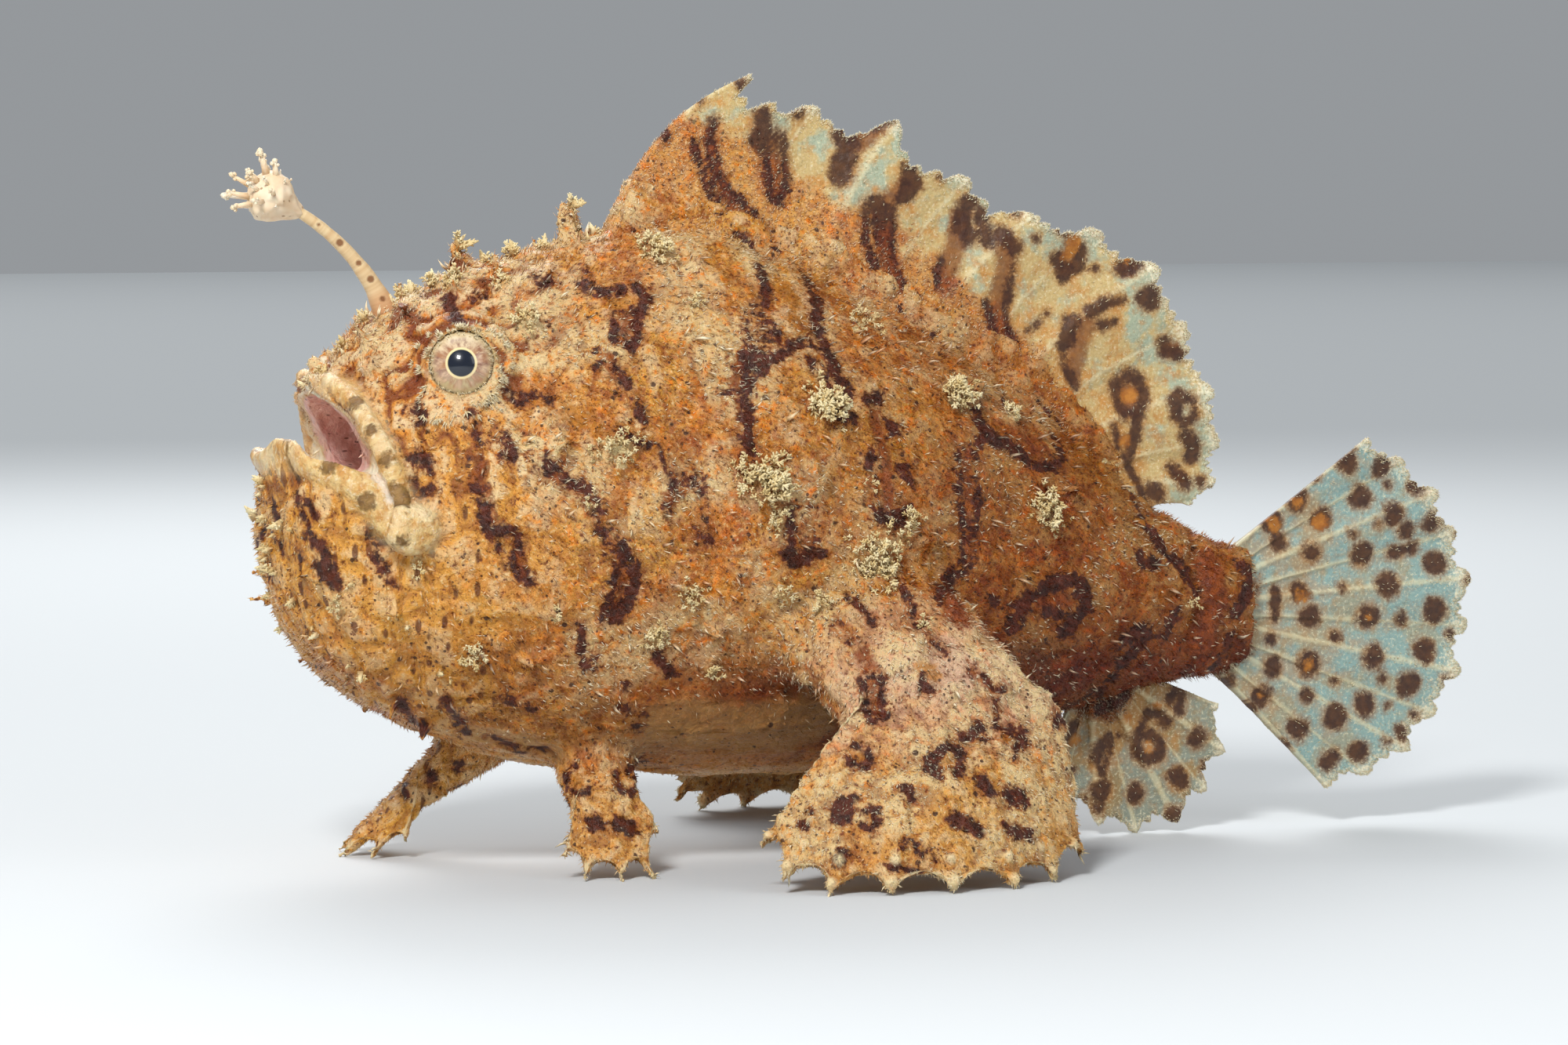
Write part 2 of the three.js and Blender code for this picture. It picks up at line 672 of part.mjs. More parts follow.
// Pectoral limbs: a broad arm out of the flank, and a webbed hand that spreads on the floor.
// Hand tips are X, distance from the middle plane, Z, from the front ray to the rear one.
const ARM_STATIONS = [
  { at: [0.0, 9.0, 35.0], wide: 12.0, thick: 8.0 },
  { at: [3.0, 17.5, 31.0], wide: 13.0, thick: 7.5 },
  { at: [6.5, 24.0, 26.5], wide: 12.6, thick: 6.0 },
  { at: [9.0, 29.0, 21.5], wide: 12.4, thick: 4.6 },
  { at: [10.5, 31.5, 18.0], wide: 12.0, thick: 3.2 },
];
const ARM_FLAT = [1.0, 0.12, 0.14];
const ARM_RINGS = 9;
const HAND_TIPS = [
  [-15.6, 34.0, 5.0],
  [-14.4, 39.0, 1.6],
  [-9.6, 42.5, -0.2],
  [-2.8, 45.0, -0.3],
  [5.2, 46.0, -0.3],
  [13.6, 44.6, -0.3],
  [20.6, 41.0, -0.2],
  [26.4, 35.6, 2.2],
  [27.2, 31.0, 9.6],
  [26.6, 28.6, 17.6],
];
const WRIST_FROM = [-1.0, 29.6, 20.5];
const WRIST_TO = [20.5, 28.4, 23.5];
const HAND_ARCH = [0.0, 3.2, 4.2];
const STRIDE = { left: 0, right: 13 }; // how far back each hand is planted
const HAND = { web: 0.75, ridge: 1.35, root: 2.2, rootShare: 0.5, notch: 0.09, rows: 5 };

function onSide([x, y, z], side) {
  return new THREE.Vector3(x, side * y, z);
}

function arm(side, stride, grow) {
  const stations = ARM_STATIONS.map((s, i) => {
    const at = onSide(s.at, side);
    at.x += stride * Math.min(1, i / (ARM_STATIONS.length - 2));
    return { ...s, at };
  });
  return limb(stations, onSide(ARM_FLAT, side), grow, ARM_RINGS);
}

function hand(side, stride) {
  const arch = onSide(HAND_ARCH, side);
  const back = new THREE.Vector3(stride, 0, 0);
  const rays = HAND_TIPS.map((tipPlace, i) => {
    const share = i / (HAND_TIPS.length - 1);
    const root = onSide(WRIST_FROM, side).lerp(onSide(WRIST_TO, side), share).add(back);
    const tip = onSide(tipPlace, side).add(back);
    return ray(root, root.clone().lerp(tip, 0.5).add(arch), tip);
  });
  return fin(rays, HAND);
}

// Pelvic limbs: short legs under the throat, each with a small foot of five blunt toes.
// The left leg is planted under the body and the right one reaches forward.
const LEGS = {
  left: {
    side: LEFT,
    path: [[-28.0, 4.0, 19.0], [-28.5, 9.0, 14.5], [-29.0, 13.0, 10.5], [-29.0, 16.0, 7.0]],
    flat: [1.0, 0.1, 0.1],
    sizes: [[6.5, 5.0], [5.8, 4.2], [4.9, 2.9], [4.1, 1.7]],
    toes: [[-35.4, 18.0, 2.6], [-33.4, 20.5, -0.2], [-29.0, 22.0, -0.3], [-24.6, 21.0, -0.2], [-22.6, 17.4, 5.0]],
    ankle: [[-32.8, 14.0, 9.6], [-25.0, 13.8, 10.0]],
  },
  right: {
    side: RIGHT,
    path: [[-36.0, 4.0, 19.0], [-39.2, 8.0, 14.5], [-42.6, 10.6, 10.8], [-46.0, 12.6, 7.6]],
    flat: [0.4, 1.0, -0.2],
    sizes: [[6.0, 5.5], [5.4, 4.4], [4.7, 3.0], [4.0, 1.8]],
    toes: [[-48.4, 7.0, 2.0], [-52.4, 8.6, -0.2], [-55.4, 12.6, -0.3], [-54.2, 17.6, -0.2], [-48.6, 20.4, 1.4]],
    ankle: [[-44.6, 7.6, 9.4], [-43.0, 15.4, 9.4]],
  },
};
const FOOT = { web: 0.7, ridge: 1.15, root: 1.6, rootShare: 0.6, notch: 0.22, rows: 4 };
const FOOT_ARCH = 1.6;
const LEG_RINGS = 8;

function leg({ side, path, flat, sizes, toes, ankle }) {
  const stations = path.map((at, i) => ({ at: onSide(at, side), wide: sizes[i][0], thick: sizes[i][1] }));
  const rays = toes.map((tipPlace, i) => {
    const share = i / (toes.length - 1);
    const root = onSide(ankle[0], side).lerp(onSide(ankle[1], side), share);
    const tip = onSide(tipPlace, side);
    const bend = root.clone().lerp(tip, 0.55).addScaledVector(UP, FOOT_ARCH);
    return ray(root, bend, tip);
  });
  return joined([limb(stations, onSide(flat, side), 0, LEG_RINGS), fin(rays, FOOT)]);
}

// The trunk is modelled whole, with everything that grows on it, and parted by thin cuts.
const JAW_CUT = [[-57.6, 50.2], [-56.9, 46.5], [-56.7, 42.8], [-43.5, 6.0]];
const HEAD_CUT = [[-22.5, 92.0], [-30.5, 4.0]];
const STALK_CUT = [[50.0, 60.0], [52.0, 10.0]];
const SCRAP = 200; // cubic millimetres, more than any crumb that the cuts leave

function cutAlong(line) {
  return joined(line.slice(1).map((to, i) => slab(line[i], to, GAP)));
}

function trunkPieces() {
  const paired = [LEFT, RIGHT].flatMap((side) => [eyeMound(side), nostril(side), cornerPad(side)]);
  const whole = joined([bodySolid(0), lip(UPPER_LIP), lip(LOWER_LIP), ...paired, ...tags()]);
  const cuts = joined([
    gape(),
    egg(THROAT.at, THROAT.reach, THROAT.tilt, THROAT_FACETS),
    eyeBall(LEFT, EYE_RADIUS + GAP),
    eyeBall(RIGHT, EYE_RADIUS + GAP),
    cutAlong(JAW_CUT),
    cutAlong(HEAD_CUT),
    cutAlong(STALK_CUT),
  ]);
  const pieces = whole.subtract(cuts).decompose().filter((piece) => piece.volume() > SCRAP);
  const middleX = (piece) => {
    const { min, max } = piece.boundingBox();
    return (min[0] + max[0]) / 2;
  };
  return pieces.sort((a, b) => middleX(a) - middleX(b));
}

// Colours of the real animal: orange skin, straw-coloured fins and lure, a dark wet eye.
const skin = new THREE.MeshStandardMaterial({ color: 0xc8742a, roughness: 0.75, metalness: 0 });
const finSkin = new THREE.MeshStandardMaterial({ color: 0xcdb58a, roughness: 0.6, metalness: 0 });
const lureSkin = new THREE.MeshStandardMaterial({ color: 0xe2d3b4, roughness: 0.7, metalness: 0 });
const eyeShine = new THREE.MeshStandardMaterial({ color: 0x1c2634, roughness: 0.12, metalness: 0 });

// Facets that lie this near to one plane are merged, in millimetres.
const MERGED_WITHIN = 0.02;
const frogfish = new THREE.Group();

function place(name, solid, material) {
  const mesh = new THREE.Mesh(geometryOf(largest(solid).simplify(MERGED_WITHIN)), material);
  mesh.name = name;
  frogfish.add(mesh);
}

const bodyGrown = bodySolid(GAP);
const [jaw, head, torso, tailStalk] = trunkPieces();
place("jaw", jaw, skin);
place("head", head, skin);
place("torso", torso, skin);
place("tail_stalk", tailStalk, skin);
place("dorsal_sail", sail().subtract(bodyGrown), finSkin);
place("tail_fin", tailFin().subtract(bodyGrown), finSkin);
place("anal_fin", floorCut(analFin().subtract(bodyGrown)), finSkin);
place("lure_rod", rod(0).subtract(bodyGrown), lureSkin);
place("lure", lure(), lureSkin);
for (const [name, side] of [["left", LEFT], ["right", RIGHT]]) {
  place(`eye_${name}`, eyeBall(side, EYE_RADIUS), eyeShine);
  const stride = STRIDE[name];
  place(`pectoral_arm_${name}`, arm(side, stride, 0).subtract(bodyGrown), skin);
  place(`pectoral_hand_${name}`, floorCut(hand(side, stride).subtract(arm(side, stride, GAP))), skin);
  place(`pelvic_leg_${name}`, floorCut(leg(LEGS[name]).subtract(bodyGrown)), skin);
}

// The origin is on the floor, under the middle of the animal's box.
const box = new THREE.Box3().setFromObject(frogfish);
const centre = box.getCenter(new THREE.Vector3());
frogfish.position.set(-centre.x, -centre.y, -box.min.z);

export default frogfish;
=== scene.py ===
import math

import bpy
import numpy as np
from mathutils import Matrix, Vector
from mathutils.bvhtree import BVHTree


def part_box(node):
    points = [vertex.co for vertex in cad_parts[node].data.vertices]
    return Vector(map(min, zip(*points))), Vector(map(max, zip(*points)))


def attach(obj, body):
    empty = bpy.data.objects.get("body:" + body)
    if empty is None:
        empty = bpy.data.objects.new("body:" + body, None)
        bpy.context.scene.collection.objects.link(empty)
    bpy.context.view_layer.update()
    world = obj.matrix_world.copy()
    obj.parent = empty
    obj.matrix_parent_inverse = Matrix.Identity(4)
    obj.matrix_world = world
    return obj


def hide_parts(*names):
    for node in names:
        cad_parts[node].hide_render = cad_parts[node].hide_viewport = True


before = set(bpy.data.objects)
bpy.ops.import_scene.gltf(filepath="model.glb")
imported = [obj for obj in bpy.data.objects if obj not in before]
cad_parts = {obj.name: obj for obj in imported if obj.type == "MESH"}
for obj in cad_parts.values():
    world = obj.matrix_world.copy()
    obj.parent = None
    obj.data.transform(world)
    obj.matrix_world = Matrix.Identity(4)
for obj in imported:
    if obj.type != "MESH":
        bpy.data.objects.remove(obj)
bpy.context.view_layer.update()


# Skin
# One loose, scaleless skin runs over the jaw, trunk, arms, hands and legs and up the foot of the sail. It is
# copied from the solids, fused so that no seam shows, and sunk by the depth of the coat that grows on it.
# Its dark bands and eye-spots are pigment in the skin itself.
MM = 0.001
FLOOR_MIDDLE = np.array([12.7, 0.0, 0.0])  # the middle of the solids' box, from the floor between the arms


def to_scene(places):
    """Places in the scene, from millimetres from the floor between the arms. The head points to -X."""
    return (np.asarray(places, float) - FLOOR_MIDDLE) * MM


def to_animal(places):
    return np.asarray(places, float) / MM + FLOOR_MIDDLE


# The marks were drawn as short brush strokes on the near side, as the camera sees them, in millimetres
# across and down from the picture's top left corner.
VIEW_AZIMUTH = math.radians(-20.0)
VIEW_ELEVATION = math.radians(4.0)
VIEW_DISTANCE = 700.0
VIEW_TARGET = Vector((0.0, 0.0, 42.0))
PICTURE_MIDDLE = (100.0, 66.65)
view_back = Vector((
    math.sin(VIEW_AZIMUTH) * math.cos(VIEW_ELEVATION),
    -math.cos(VIEW_AZIMUTH) * math.cos(VIEW_ELEVATION),
    math.sin(VIEW_ELEVATION),
))
view_right = Vector((math.cos(VIEW_AZIMUTH), math.sin(VIEW_AZIMUTH), 0.0))
view_up = view_back.cross(view_right)


def sight_line(across, down):
    """Where the camera stands, and the direction in which it sees that place of the picture."""
    eye = VIEW_TARGET + view_back * VIEW_DISTANCE
    seen = VIEW_TARGET + view_right * (across - PICTURE_MIDDLE[0]) + view_up * (PICTURE_MIDDLE[1] - down)
    return eye, (seen - eye).normalized()


def on_middle_plane(across, down):
    """The place seen there on the upright plane through the animal's back and fins."""
    eye, way = sight_line(across, down)
    return np.array(eye - way * (eye.y / way.y))


FAR_OFF = 9.0  # the gap of a place that is nowhere near a stroke
SEARCHED = 4.0  # how far round a stroke its gap is worked out


def gap_to(places, strokes):
    """How far each place lies outside the nearest stroke, in millimetres. It is negative inside one."""
    nearest = np.full(len(places), FAR_OFF)
    for half, line in strokes:
        low, high = line.min(axis=0) - half - SEARCHED, line.max(axis=0) + half + SEARCHED
        near = np.flatnonzero(np.all((places > low) & (places < high), axis=1))
        for a, b in zip(line, np.vstack([line[1:], line[-1:]])):
            way = b - a
            share = np.clip((places[near] - a) @ way / max(way @ way, 1e-9), 0.0, 1.0)
            gap = np.linalg.norm(places[near] - a - share[:, None] * way, axis=1) - half
            nearest[near] = np.minimum(nearest[near], gap)
    return nearest


def rise(values, low, high):
    """A smooth step from 0 to 1."""
    share = np.clip((values - low) / (high - low), 0.0, 1.0)
    return share * share * (3.0 - 2.0 * share)


FLESH = [
    "jaw", "head", "torso", "tail_stalk", "pectoral_arm_left", "pectoral_arm_right", "pectoral_hand_left",
    "pectoral_hand_right", "pelvic_leg_left", "pelvic_leg_right",
]
SWELL = 0.25  # closes the thin cuts between the solids before they are fused
VOXEL = 0.47
SKIN_TRIANGLES = 188000
SMOOTHING = 9  # how many times the steps left by the voxels are smoothed
COAT_DEPTH = {"trunk": 0.42, "small": 0.15, "bare": 0.05}
SAIL_RAYS = [  # root, tip, and how far the tip sways to the side
    ((-24.5, 76.5), (-3.9, 99.0), 0.0), ((-6.5, 74.5), (4.6, 95.3), 0.6), ((3.0, 70.5), (15.4, 93.3), -0.4),
    ((11.0, 67.0), (25.6, 86.0), 0.6), ((18.0, 63.5), (34.4, 81.2), -0.4), ((24.0, 60.0), (43.8, 79.3), 0.5),
    ((29.0, 56.8), (51.8, 74.4), -0.3), ((33.5, 53.4), (56.6, 66.0), 0.6), ((37.5, 50.2), (59.8, 57.8), 0.0),
    ((41.5, 47.0), (61.0, 51.0), 0.4), ((45.0, 44.0), (60.2, 45.6), 0.0), ((48.5, 41.5), (56.6, 43.2), 0.0),
]
SAIL_FORM = {
    "web": 0.36, "ridge": 0.75, "ridge_width": 0.8, "root": 2.9, "root_share": 0.5, "billow": 0.6,
    "teeth": 5, "tooth": 0.035,
    "notches": (0.17, 0.15, 0.14, 0.12, 0.09, 0.07, 0.06, 0.05, 0.05, 0.06, 0.06), "columns": 24,
    "rows": 56, "sunk": 0.12, "knob": 0.3,
    "flesh": (0.72, 0.6, 0.52, 0.5, 0.42, 0.38, 0.3, 0.24, 0.16, 0.12, 0.1, 0.1),
}
LEADING_BOW = 6.8  # how far the first ray bows forward, and then the others
SAIL_BOW = 2.2
FOOT_FORM = {**SAIL_FORM, "web": 0.3, "root": 3.5, "rows": 26, "columns": 8, "notches": (0.0,), "tooth": 0.0}
FOOT_REACH = 0.36  # of each ray, covered by the skin

# each stroke is half its width and the points of its course
BODY_DARK = [
    (0.35, [(60.2, 58.5), (60.6, 61), (61, 64), (61.8, 66.5), (63.2, 68.8), (64.5, 70), (65.2, 72),
            (66.2, 73.5), (67.2, 74.5)]),
    (0.35, [(61.5, 62.5), (63, 65.5), (65, 67.5), (66, 68), (66.8, 70), (67.2, 72.5), (67.6, 74.5)]),
    (0.35, [(60.3, 52.8), (60.6, 54.5), (61.3, 56.2)]),
    (0.5, [(64.2, 55.3), (65, 57), (66, 59), (68, 60), (70, 60.3)]),
    (0.4, [(69.7, 58.5), (71.5, 60), (74, 61.5), (75.5, 62.5), (76.5, 64), (78.2, 65.5), (78.8, 67)]),
    (0.45, [(72.2, 61.5), (73.5, 64), (75, 66), (76.2, 67), (77.5, 68.5)]),
    (0.5, [(77.8, 69.5), (78.2, 71.5), (78, 74), (77.6, 77), (77.3, 79)]),
    (0.7, [(79, 69.5), (80.5, 71.5), (81.4, 73), (81, 75), (80, 77), (79, 79)]),
    (0.35, [(64.5, 49.5), (65.5, 50.7), (67, 51.8)]),
    (0.3, [(66.2, 50.3), (68, 49.7), (69.5, 50.5), (71, 51.5)]),
    (0.3, [(78.2, 54.5), (80, 55.5), (82, 56.7), (83.5, 57.2)]),
    (0.4, [(84.5, 58.5), (85.4, 60.8), (86.2, 62.5)]),
    (0.5, [(87.2, 57.5), (88.4, 59), (89.4, 61), (89.8, 62.6), (89, 63.2)]),
    (0.45, [(85.2, 64.5), (86.8, 66.8), (88.5, 69)]), (0.45, [(87.2, 65), (89, 67), (90.4, 69)]),
    (0.6, [(74, 33.8), (74.4, 35.8), (75.5, 37), (77, 37.2), (79, 36.8)]),
    (0.6, [(80, 36.5), (81.5, 36.2), (82.8, 37), (82.4, 38.2), (81.5, 39.5), (81.2, 40.5)]),
    (0.4, [(78.5, 40), (78.2, 43)]), (0.6, [(81.2, 40.5), (81.3, 43), (80.5, 44)]),
    (0.5, [(76.2, 45), (76.5, 47.5), (77.5, 48)]),
    (0.5, [(78.6, 46.5), (79.5, 48), (80.2, 49.5), (81, 51), (81.8, 53), (82.2, 54)]),
    (0.6, [(93.2, 45.5), (92.8, 48), (92.5, 51), (93, 54), (94.5, 56), (96, 57.5)]),
    (0.6, [(95.5, 45), (95.5, 48), (95.2, 52), (95.8, 56), (96.3, 57.8)]),
    (0.6, [(95.8, 39.8), (95.4, 41.5), (96, 43)]),
    (0.6, [(97.1, 33.5), (98.4, 36.6), (96.6, 40.7), (96, 43.7), (98.4, 45.8), (101, 43.9)]),
    (0.7, [(102.8, 34.5), (104.4, 37.5), (104.4, 40.5), (105.2, 43.5), (106.5, 46.5), (107.5, 48.5),
           (108.5, 50)]),
    (0.5, [(103.5, 45.5), (104.5, 48), (105.8, 49)]), (0.4, [(98.5, 41), (99.8, 43.5)]),
    (0.6, [(106.8, 52.5), (109, 53.5), (110.5, 55.5), (111.2, 58), (111.5, 61), (111.8, 64), (112.5, 66.5),
           (113, 67.2)]),
    (0.9, [(111, 50.5), (113, 51), (114, 53), (114.5, 56), (115.5, 59), (116, 62), (115.5, 65),
           (114.8, 66.5)]),
    (1.1, [(113, 66.3), (114.2, 66.8)]),
    (1.0, [(99.5, 65.3), (100.3, 69), (101.5, 71.5), (103, 71.2), (105, 70), (105.5, 68), (104, 65.8)]),
    (1.0, [(101.5, 66), (103, 67)]),
    (0.45, [(122.8, 57.5), (122.5, 61), (123.2, 65), (123.6, 68), (123, 71), (121.5, 73), (120, 75),
            (119.8, 76.5)]),
    (0.35, [(124, 56), (125, 59), (125.2, 64), (125, 69), (124.8, 72), (123.5, 73.5)]),
    (1.0, [(122, 73.5), (120.5, 75)]), (1.0, [(125, 52.5), (126, 55), (127.5, 56), (130, 57)]),
    (0.8, [(130, 57), (132, 59), (135, 59.3), (135.5, 57), (135, 55.5)]),
    (0.4, [(128, 50), (129.5, 52), (130.5, 54)]),
    (1.0, [(129.5, 80), (130, 78), (131.5, 76.5), (133.5, 75.5), (135, 74.3), (137, 74), (138.8, 75.3),
           (139, 77.5), (137.5, 79.5), (135.8, 80.8)]),
    (0.7, [(133.5, 78), (135.5, 78.5)]), (0.5, [(126.5, 75), (127.2, 77)]),
    (0.7, [(145.5, 70.5), (146.3, 72), (148, 71.5)]),
    (0.4, [(141, 52), (143, 58), (145, 63), (147, 67), (149, 70), (151.5, 72), (153, 75)]),
    (0.6, [(147, 67), (149.5, 71), (151.8, 73.5), (153, 75.5)]),
    (0.8, [(158.5, 72), (160, 73), (159.4, 76), (158.2, 78)]),
    (0.6, [(157.5, 81), (156.5, 84), (155, 85.5)]), (0.6, [(142.5, 84), (144, 81.5), (146, 80)]),
    (0.6, [(150.5, 78), (149, 81)]), (0.8, [(147, 81), (143.5, 85), (141.5, 88), (139, 91)]),
    (0.6, [(135, 92), (139, 89)]), (0.5, [(56.5, 89.5), (57.5, 91), (58.5, 92.5), (59.5, 94)]),
    (0.4, [(51, 90), (52.5, 92.8), (54.5, 93.5)]), (0.4, [(62, 94.5), (66, 96.5)]),
    (0.5, [(64, 89.5), (65, 90)]), (0.5, [(67, 90), (68, 91)]),
    (0.6, [(79.5, 90.5), (82, 91.5), (81.3, 93.5)]), (0.6, [(84, 83.5), (85.5, 86.5), (88, 87.2)]),
    (0.6, [(80, 88)]), (0.4, [(74, 80), (74.3, 83), (74.6, 86)]), (0.4, [(76, 84), (75.8, 86.5)]),
    (0.3, [(34, 63.7), (34.5, 65), (34.6, 66.5)]), (0.3, [(33.5, 68), (34.5, 69.5), (35, 70.5)]),
    (0.3, [(34, 72), (34.1, 73.5)]), (0.3, [(37.8, 61.5), (37.8, 63.5), (38.2, 65.5), (38.8, 67)]),
    (0.3, [(39, 64), (39.7, 65.5), (40, 66)]),
    (0.5, [(38.5, 68.5), (39.5, 69), (40.5, 69.5), (41.2, 71), (41.8, 72.2)]),
    (0.7, [(40.5, 72.5), (41.5, 73.5), (42.5, 74.5)]), (0.3, [(37.2, 70), (37.5, 71)]),
    (0.5, [(46.6, 67.8), (47.5, 67.2), (48.5, 68), (49, 69)]),
    (0.3, [(47.7, 70.5), (48.5, 72.5), (49.5, 73.5), (50.5, 75)]),
    (0.7, [(57, 37.8), (57.8, 39.5), (58.8, 40.3)]), (0.5, [(60.6, 37.6), (61.5, 37)]),
    (0.4, [(67.5, 34.5), (68, 35)]), (0.5, [(69.3, 36), (70, 35.5)]), (0.9, [(47.8, 36.5)]),
    (0.4, [(52.2, 58.6), (53, 57.8), (54, 58.3), (54.8, 59.5), (55.2, 60.2)]),
    (0.3, [(52.5, 61), (53, 63.5), (54.5, 63.2), (55, 62)]), (0.4, [(52.2, 52), (53.2, 51.5)]),
    (0.35, [(53.9, 53), (53.4, 53.8)]),
]
BODY_BROWN = [
    (0.8, [(60.5, 57.5), (61.2, 61), (62.5, 65), (64.5, 68.5), (66.2, 71), (67, 74)]),
    (0.9, [(70.5, 60), (73, 62.3), (75, 64.5), (77, 66.8)]), (0.9, [(79.2, 71.5), (79.6, 74), (78.8, 77)]),
    (1.2, [(86.5, 59), (87.6, 61.5)]), (0.9, [(85.5, 63.5), (87.5, 66.2), (89.3, 68.6)]),
    (1.1, [(79.8, 40), (80, 43)]), (0.8, [(77.8, 45.3), (78, 47.6)]),
    (1.0, [(94.4, 46), (94, 50), (94.4, 54)]), (0.8, [(112, 53), (113, 57), (113.6, 61), (113.9, 65)]),
    (0.9, [(124, 57.5), (123.9, 62), (124.2, 66), (124.2, 71)]), (1.1, [(131.5, 56), (133.5, 57.5)]),
    (1.4, [(133, 77), (136.5, 76.8)]), (1.6, [(121.5, 75.5), (122.5, 78.5)]),
    (1.4, [(101.5, 68), (103.5, 68.8)]), (2.0, [(154.5, 72), (155.5, 77), (153.5, 82)]),
    (1.1, [(100.5, 37), (102.5, 41), (104, 45)]),
]
BODY_AMBER = [
    (0.9, [(69, 50.8), (72, 52), (74.5, 53.3), (77, 54.3), (79.5, 55), (82, 56), (83.5, 57.3)]),
    (1.2, [(80.2, 38.2), (79, 38.6)]), (0.8, [(102.5, 69)]),
    (1.3, [(99.5, 35), (101.5, 38.5), (102.5, 42), (103.5, 45)]),
]
LIMB_DARK = [
    (0.5, [(108.5, 75.5), (110.5, 78), (111.5, 79)]), (0.6, [(106.5, 79.5), (108.5, 81.5)]),
    (0.4, [(116.5, 79), (119, 81), (120.5, 83)]), (0.4, [(115, 74), (116, 76), (117.5, 78.5)]),
    (0.4, [(110, 86), (110.3, 88), (110.5, 91)]), (0.5, [(112.2, 86), (112.8, 91), (111.5, 91.8)]),
    (0.5, [(117.8, 86), (118, 87.5), (119, 88)]),
    (0.35, [(124.5, 84.5), (126, 86.5), (127.5, 87.2), (128.5, 87.5)]),
    (0.4, [(127.5, 89.5), (127.5, 92), (129, 93), (131, 93), (131, 95), (129.5, 96)]),
    (0.45, [(109, 95), (110.4, 95), (111.2, 96.2), (110.6, 97.6), (109, 97.6), (108.3, 96.4)]),
    (1.1, [(108, 102), (107.2, 104)]),
    (0.5, [(110.2, 103.2), (111.8, 103.3), (112, 104.8), (111.2, 106), (110.3, 105)]),
    (0.7, [(115.5, 100.5), (116.5, 101.5)]),
    (0.7, [(118.5, 98), (119.5, 96), (121, 95), (122.5, 95.3), (122.8, 97), (122, 98.5)]),
    (0.7, [(118.5, 98), (119.5, 98.6)]), (0.7, [(123, 93.5), (125.5, 92.7)]), (0.6, [(126, 94)]),
    (0.5, [(127.5, 92.5), (129, 92.5), (130.5, 93.5), (130, 95)]), (0.9, [(125.5, 99.5), (126.5, 101)]),
    (1.2, [(129, 101.3), (130.5, 101.7)]), (0.9, [(122, 104.3), (124, 105.2), (124.8, 105.8)]),
    (0.9, [(129, 105.5), (131.5, 106.5)]), (0.9, [(107.5, 109), (107.5, 109.5)]),
    (0.6, [(117, 108), (118, 108.2), (119, 109.5)]), (0.5, [(113.8, 110.5), (117, 111)]),
    (0.5, [(101.8, 104.8), (102.5, 105.5)]), (0.3, [(103.2, 103.2)]), (0.5, [(115.5, 107.5)]),
    (0.4, [(71.8, 98.5), (72.3, 100.5), (73.5, 101), (75, 100.5)]), (0.5, [(72.8, 97.7)]),
    (0.6, [(72, 102.5)]),
    (0.4, [(79, 98.5), (79.3, 100.5), (80.5, 101), (81.5, 99.5), (82, 98), (80.5, 97.8)]),
    (1.0, [(76, 104.8)]), (1.1, [(79, 105), (80.5, 105.5)]), (0.4, [(76.5, 93.8)]),
    (0.5, [(68, 96.5), (69.7, 96.5)]), (0.6, [(54.5, 98.5), (55, 99.5)]), (0.7, [(58.5, 98)]),
    (0.7, [(58.5, 100.5)]), (0.6, [(51.3, 100.3), (51.5, 101)]), (0.5, [(48.2, 102.5)]),
    (0.5, [(50.2, 99), (50, 100.5)]),
]
LIMB_BROWN = [
    (0.9, [(109.8, 83), (111, 85), (111.3, 87), (112, 90), (111.8, 91)]),
    (0.5, [(124.5, 85.5), (126.5, 87.7)]), (1.0, [(128.8, 94)]), (0.8, [(111, 105.5)]),
    (0.8, [(107.6, 103)]), (1.0, [(129.8, 101.6)]),
]
LIMB_AMBER = [
    (0.9, [(118, 85), (119.5, 85.5)]), (0.9, [(109.8, 96.3)]), (0.7, [(111, 104)]), (1.3, [(120.8, 97)]),
    (0.9, [(128.8, 93.8)]), (1.0, [(73.5, 99.3)]), (1.0, [(80.3, 99)]),
]
PALE = [  # smooth pale belly, and the pale rings round the patches of cream tufts; the belly's darker brown is painted shade
    (4.5, [(86, 93), (95, 94), (103, 93)]), (2.0, [(60, 94.5), (70, 96)]),
]
FOLDS = [  # half width of the groove, its course
    (0.9, [(52.5, 52), (55, 57), (56.3, 61), (57.2, 65), (57, 69), (54, 71.5), (50, 72)]),
    (0.6, [(44, 47.5), (47, 51), (50, 55), (52, 59), (53.5, 63)]),
    (1.2, [(88.8, 78), (89.5, 82), (93, 86.5), (98, 88.5), (103, 89), (106.5, 90.5)]),
    (0.8, [(56, 92), (64, 95.5), (75, 98), (85, 98.8)]), (0.8, [(152.5, 70), (153.5, 76), (152, 83)]),
]
UPPER_LIP = [
    (1.15, [(42.2, 48.5), (44.4, 50), (46, 52), (47.6, 54.6), (49, 57.5), (50, 60.5), (50.9, 63.5),
            (51.1, 66.5), (50.7, 68.5)])
]
LOWER_LIP = [(1.9, [(33, 58.2), (36, 57.7), (40, 58.8), (44, 60.8), (48, 64.2), (50.3, 67.5)])]
PAD = [(3.3, [(53.2, 67.6)])]
LIP_SADDLES = [
    (1.0, [(45.5, 51.8)]), (0.6, [(47.5, 55.3)]), (0.8, [(49.4, 58.7)]), (1.1, [(50.5, 62.8), (51.3, 64)]),
    (1.0, [(42, 59.5)]), (1.1, [(46.7, 64)]), (0.3, [(37, 56.5), (36.2, 58), (36.3, 59.5), (37.2, 60.5)]),
    (0.6, [(51.3, 69)]), (0.5, [(37.5, 53)]), (0.5, [(39.7, 53.6)]),
]
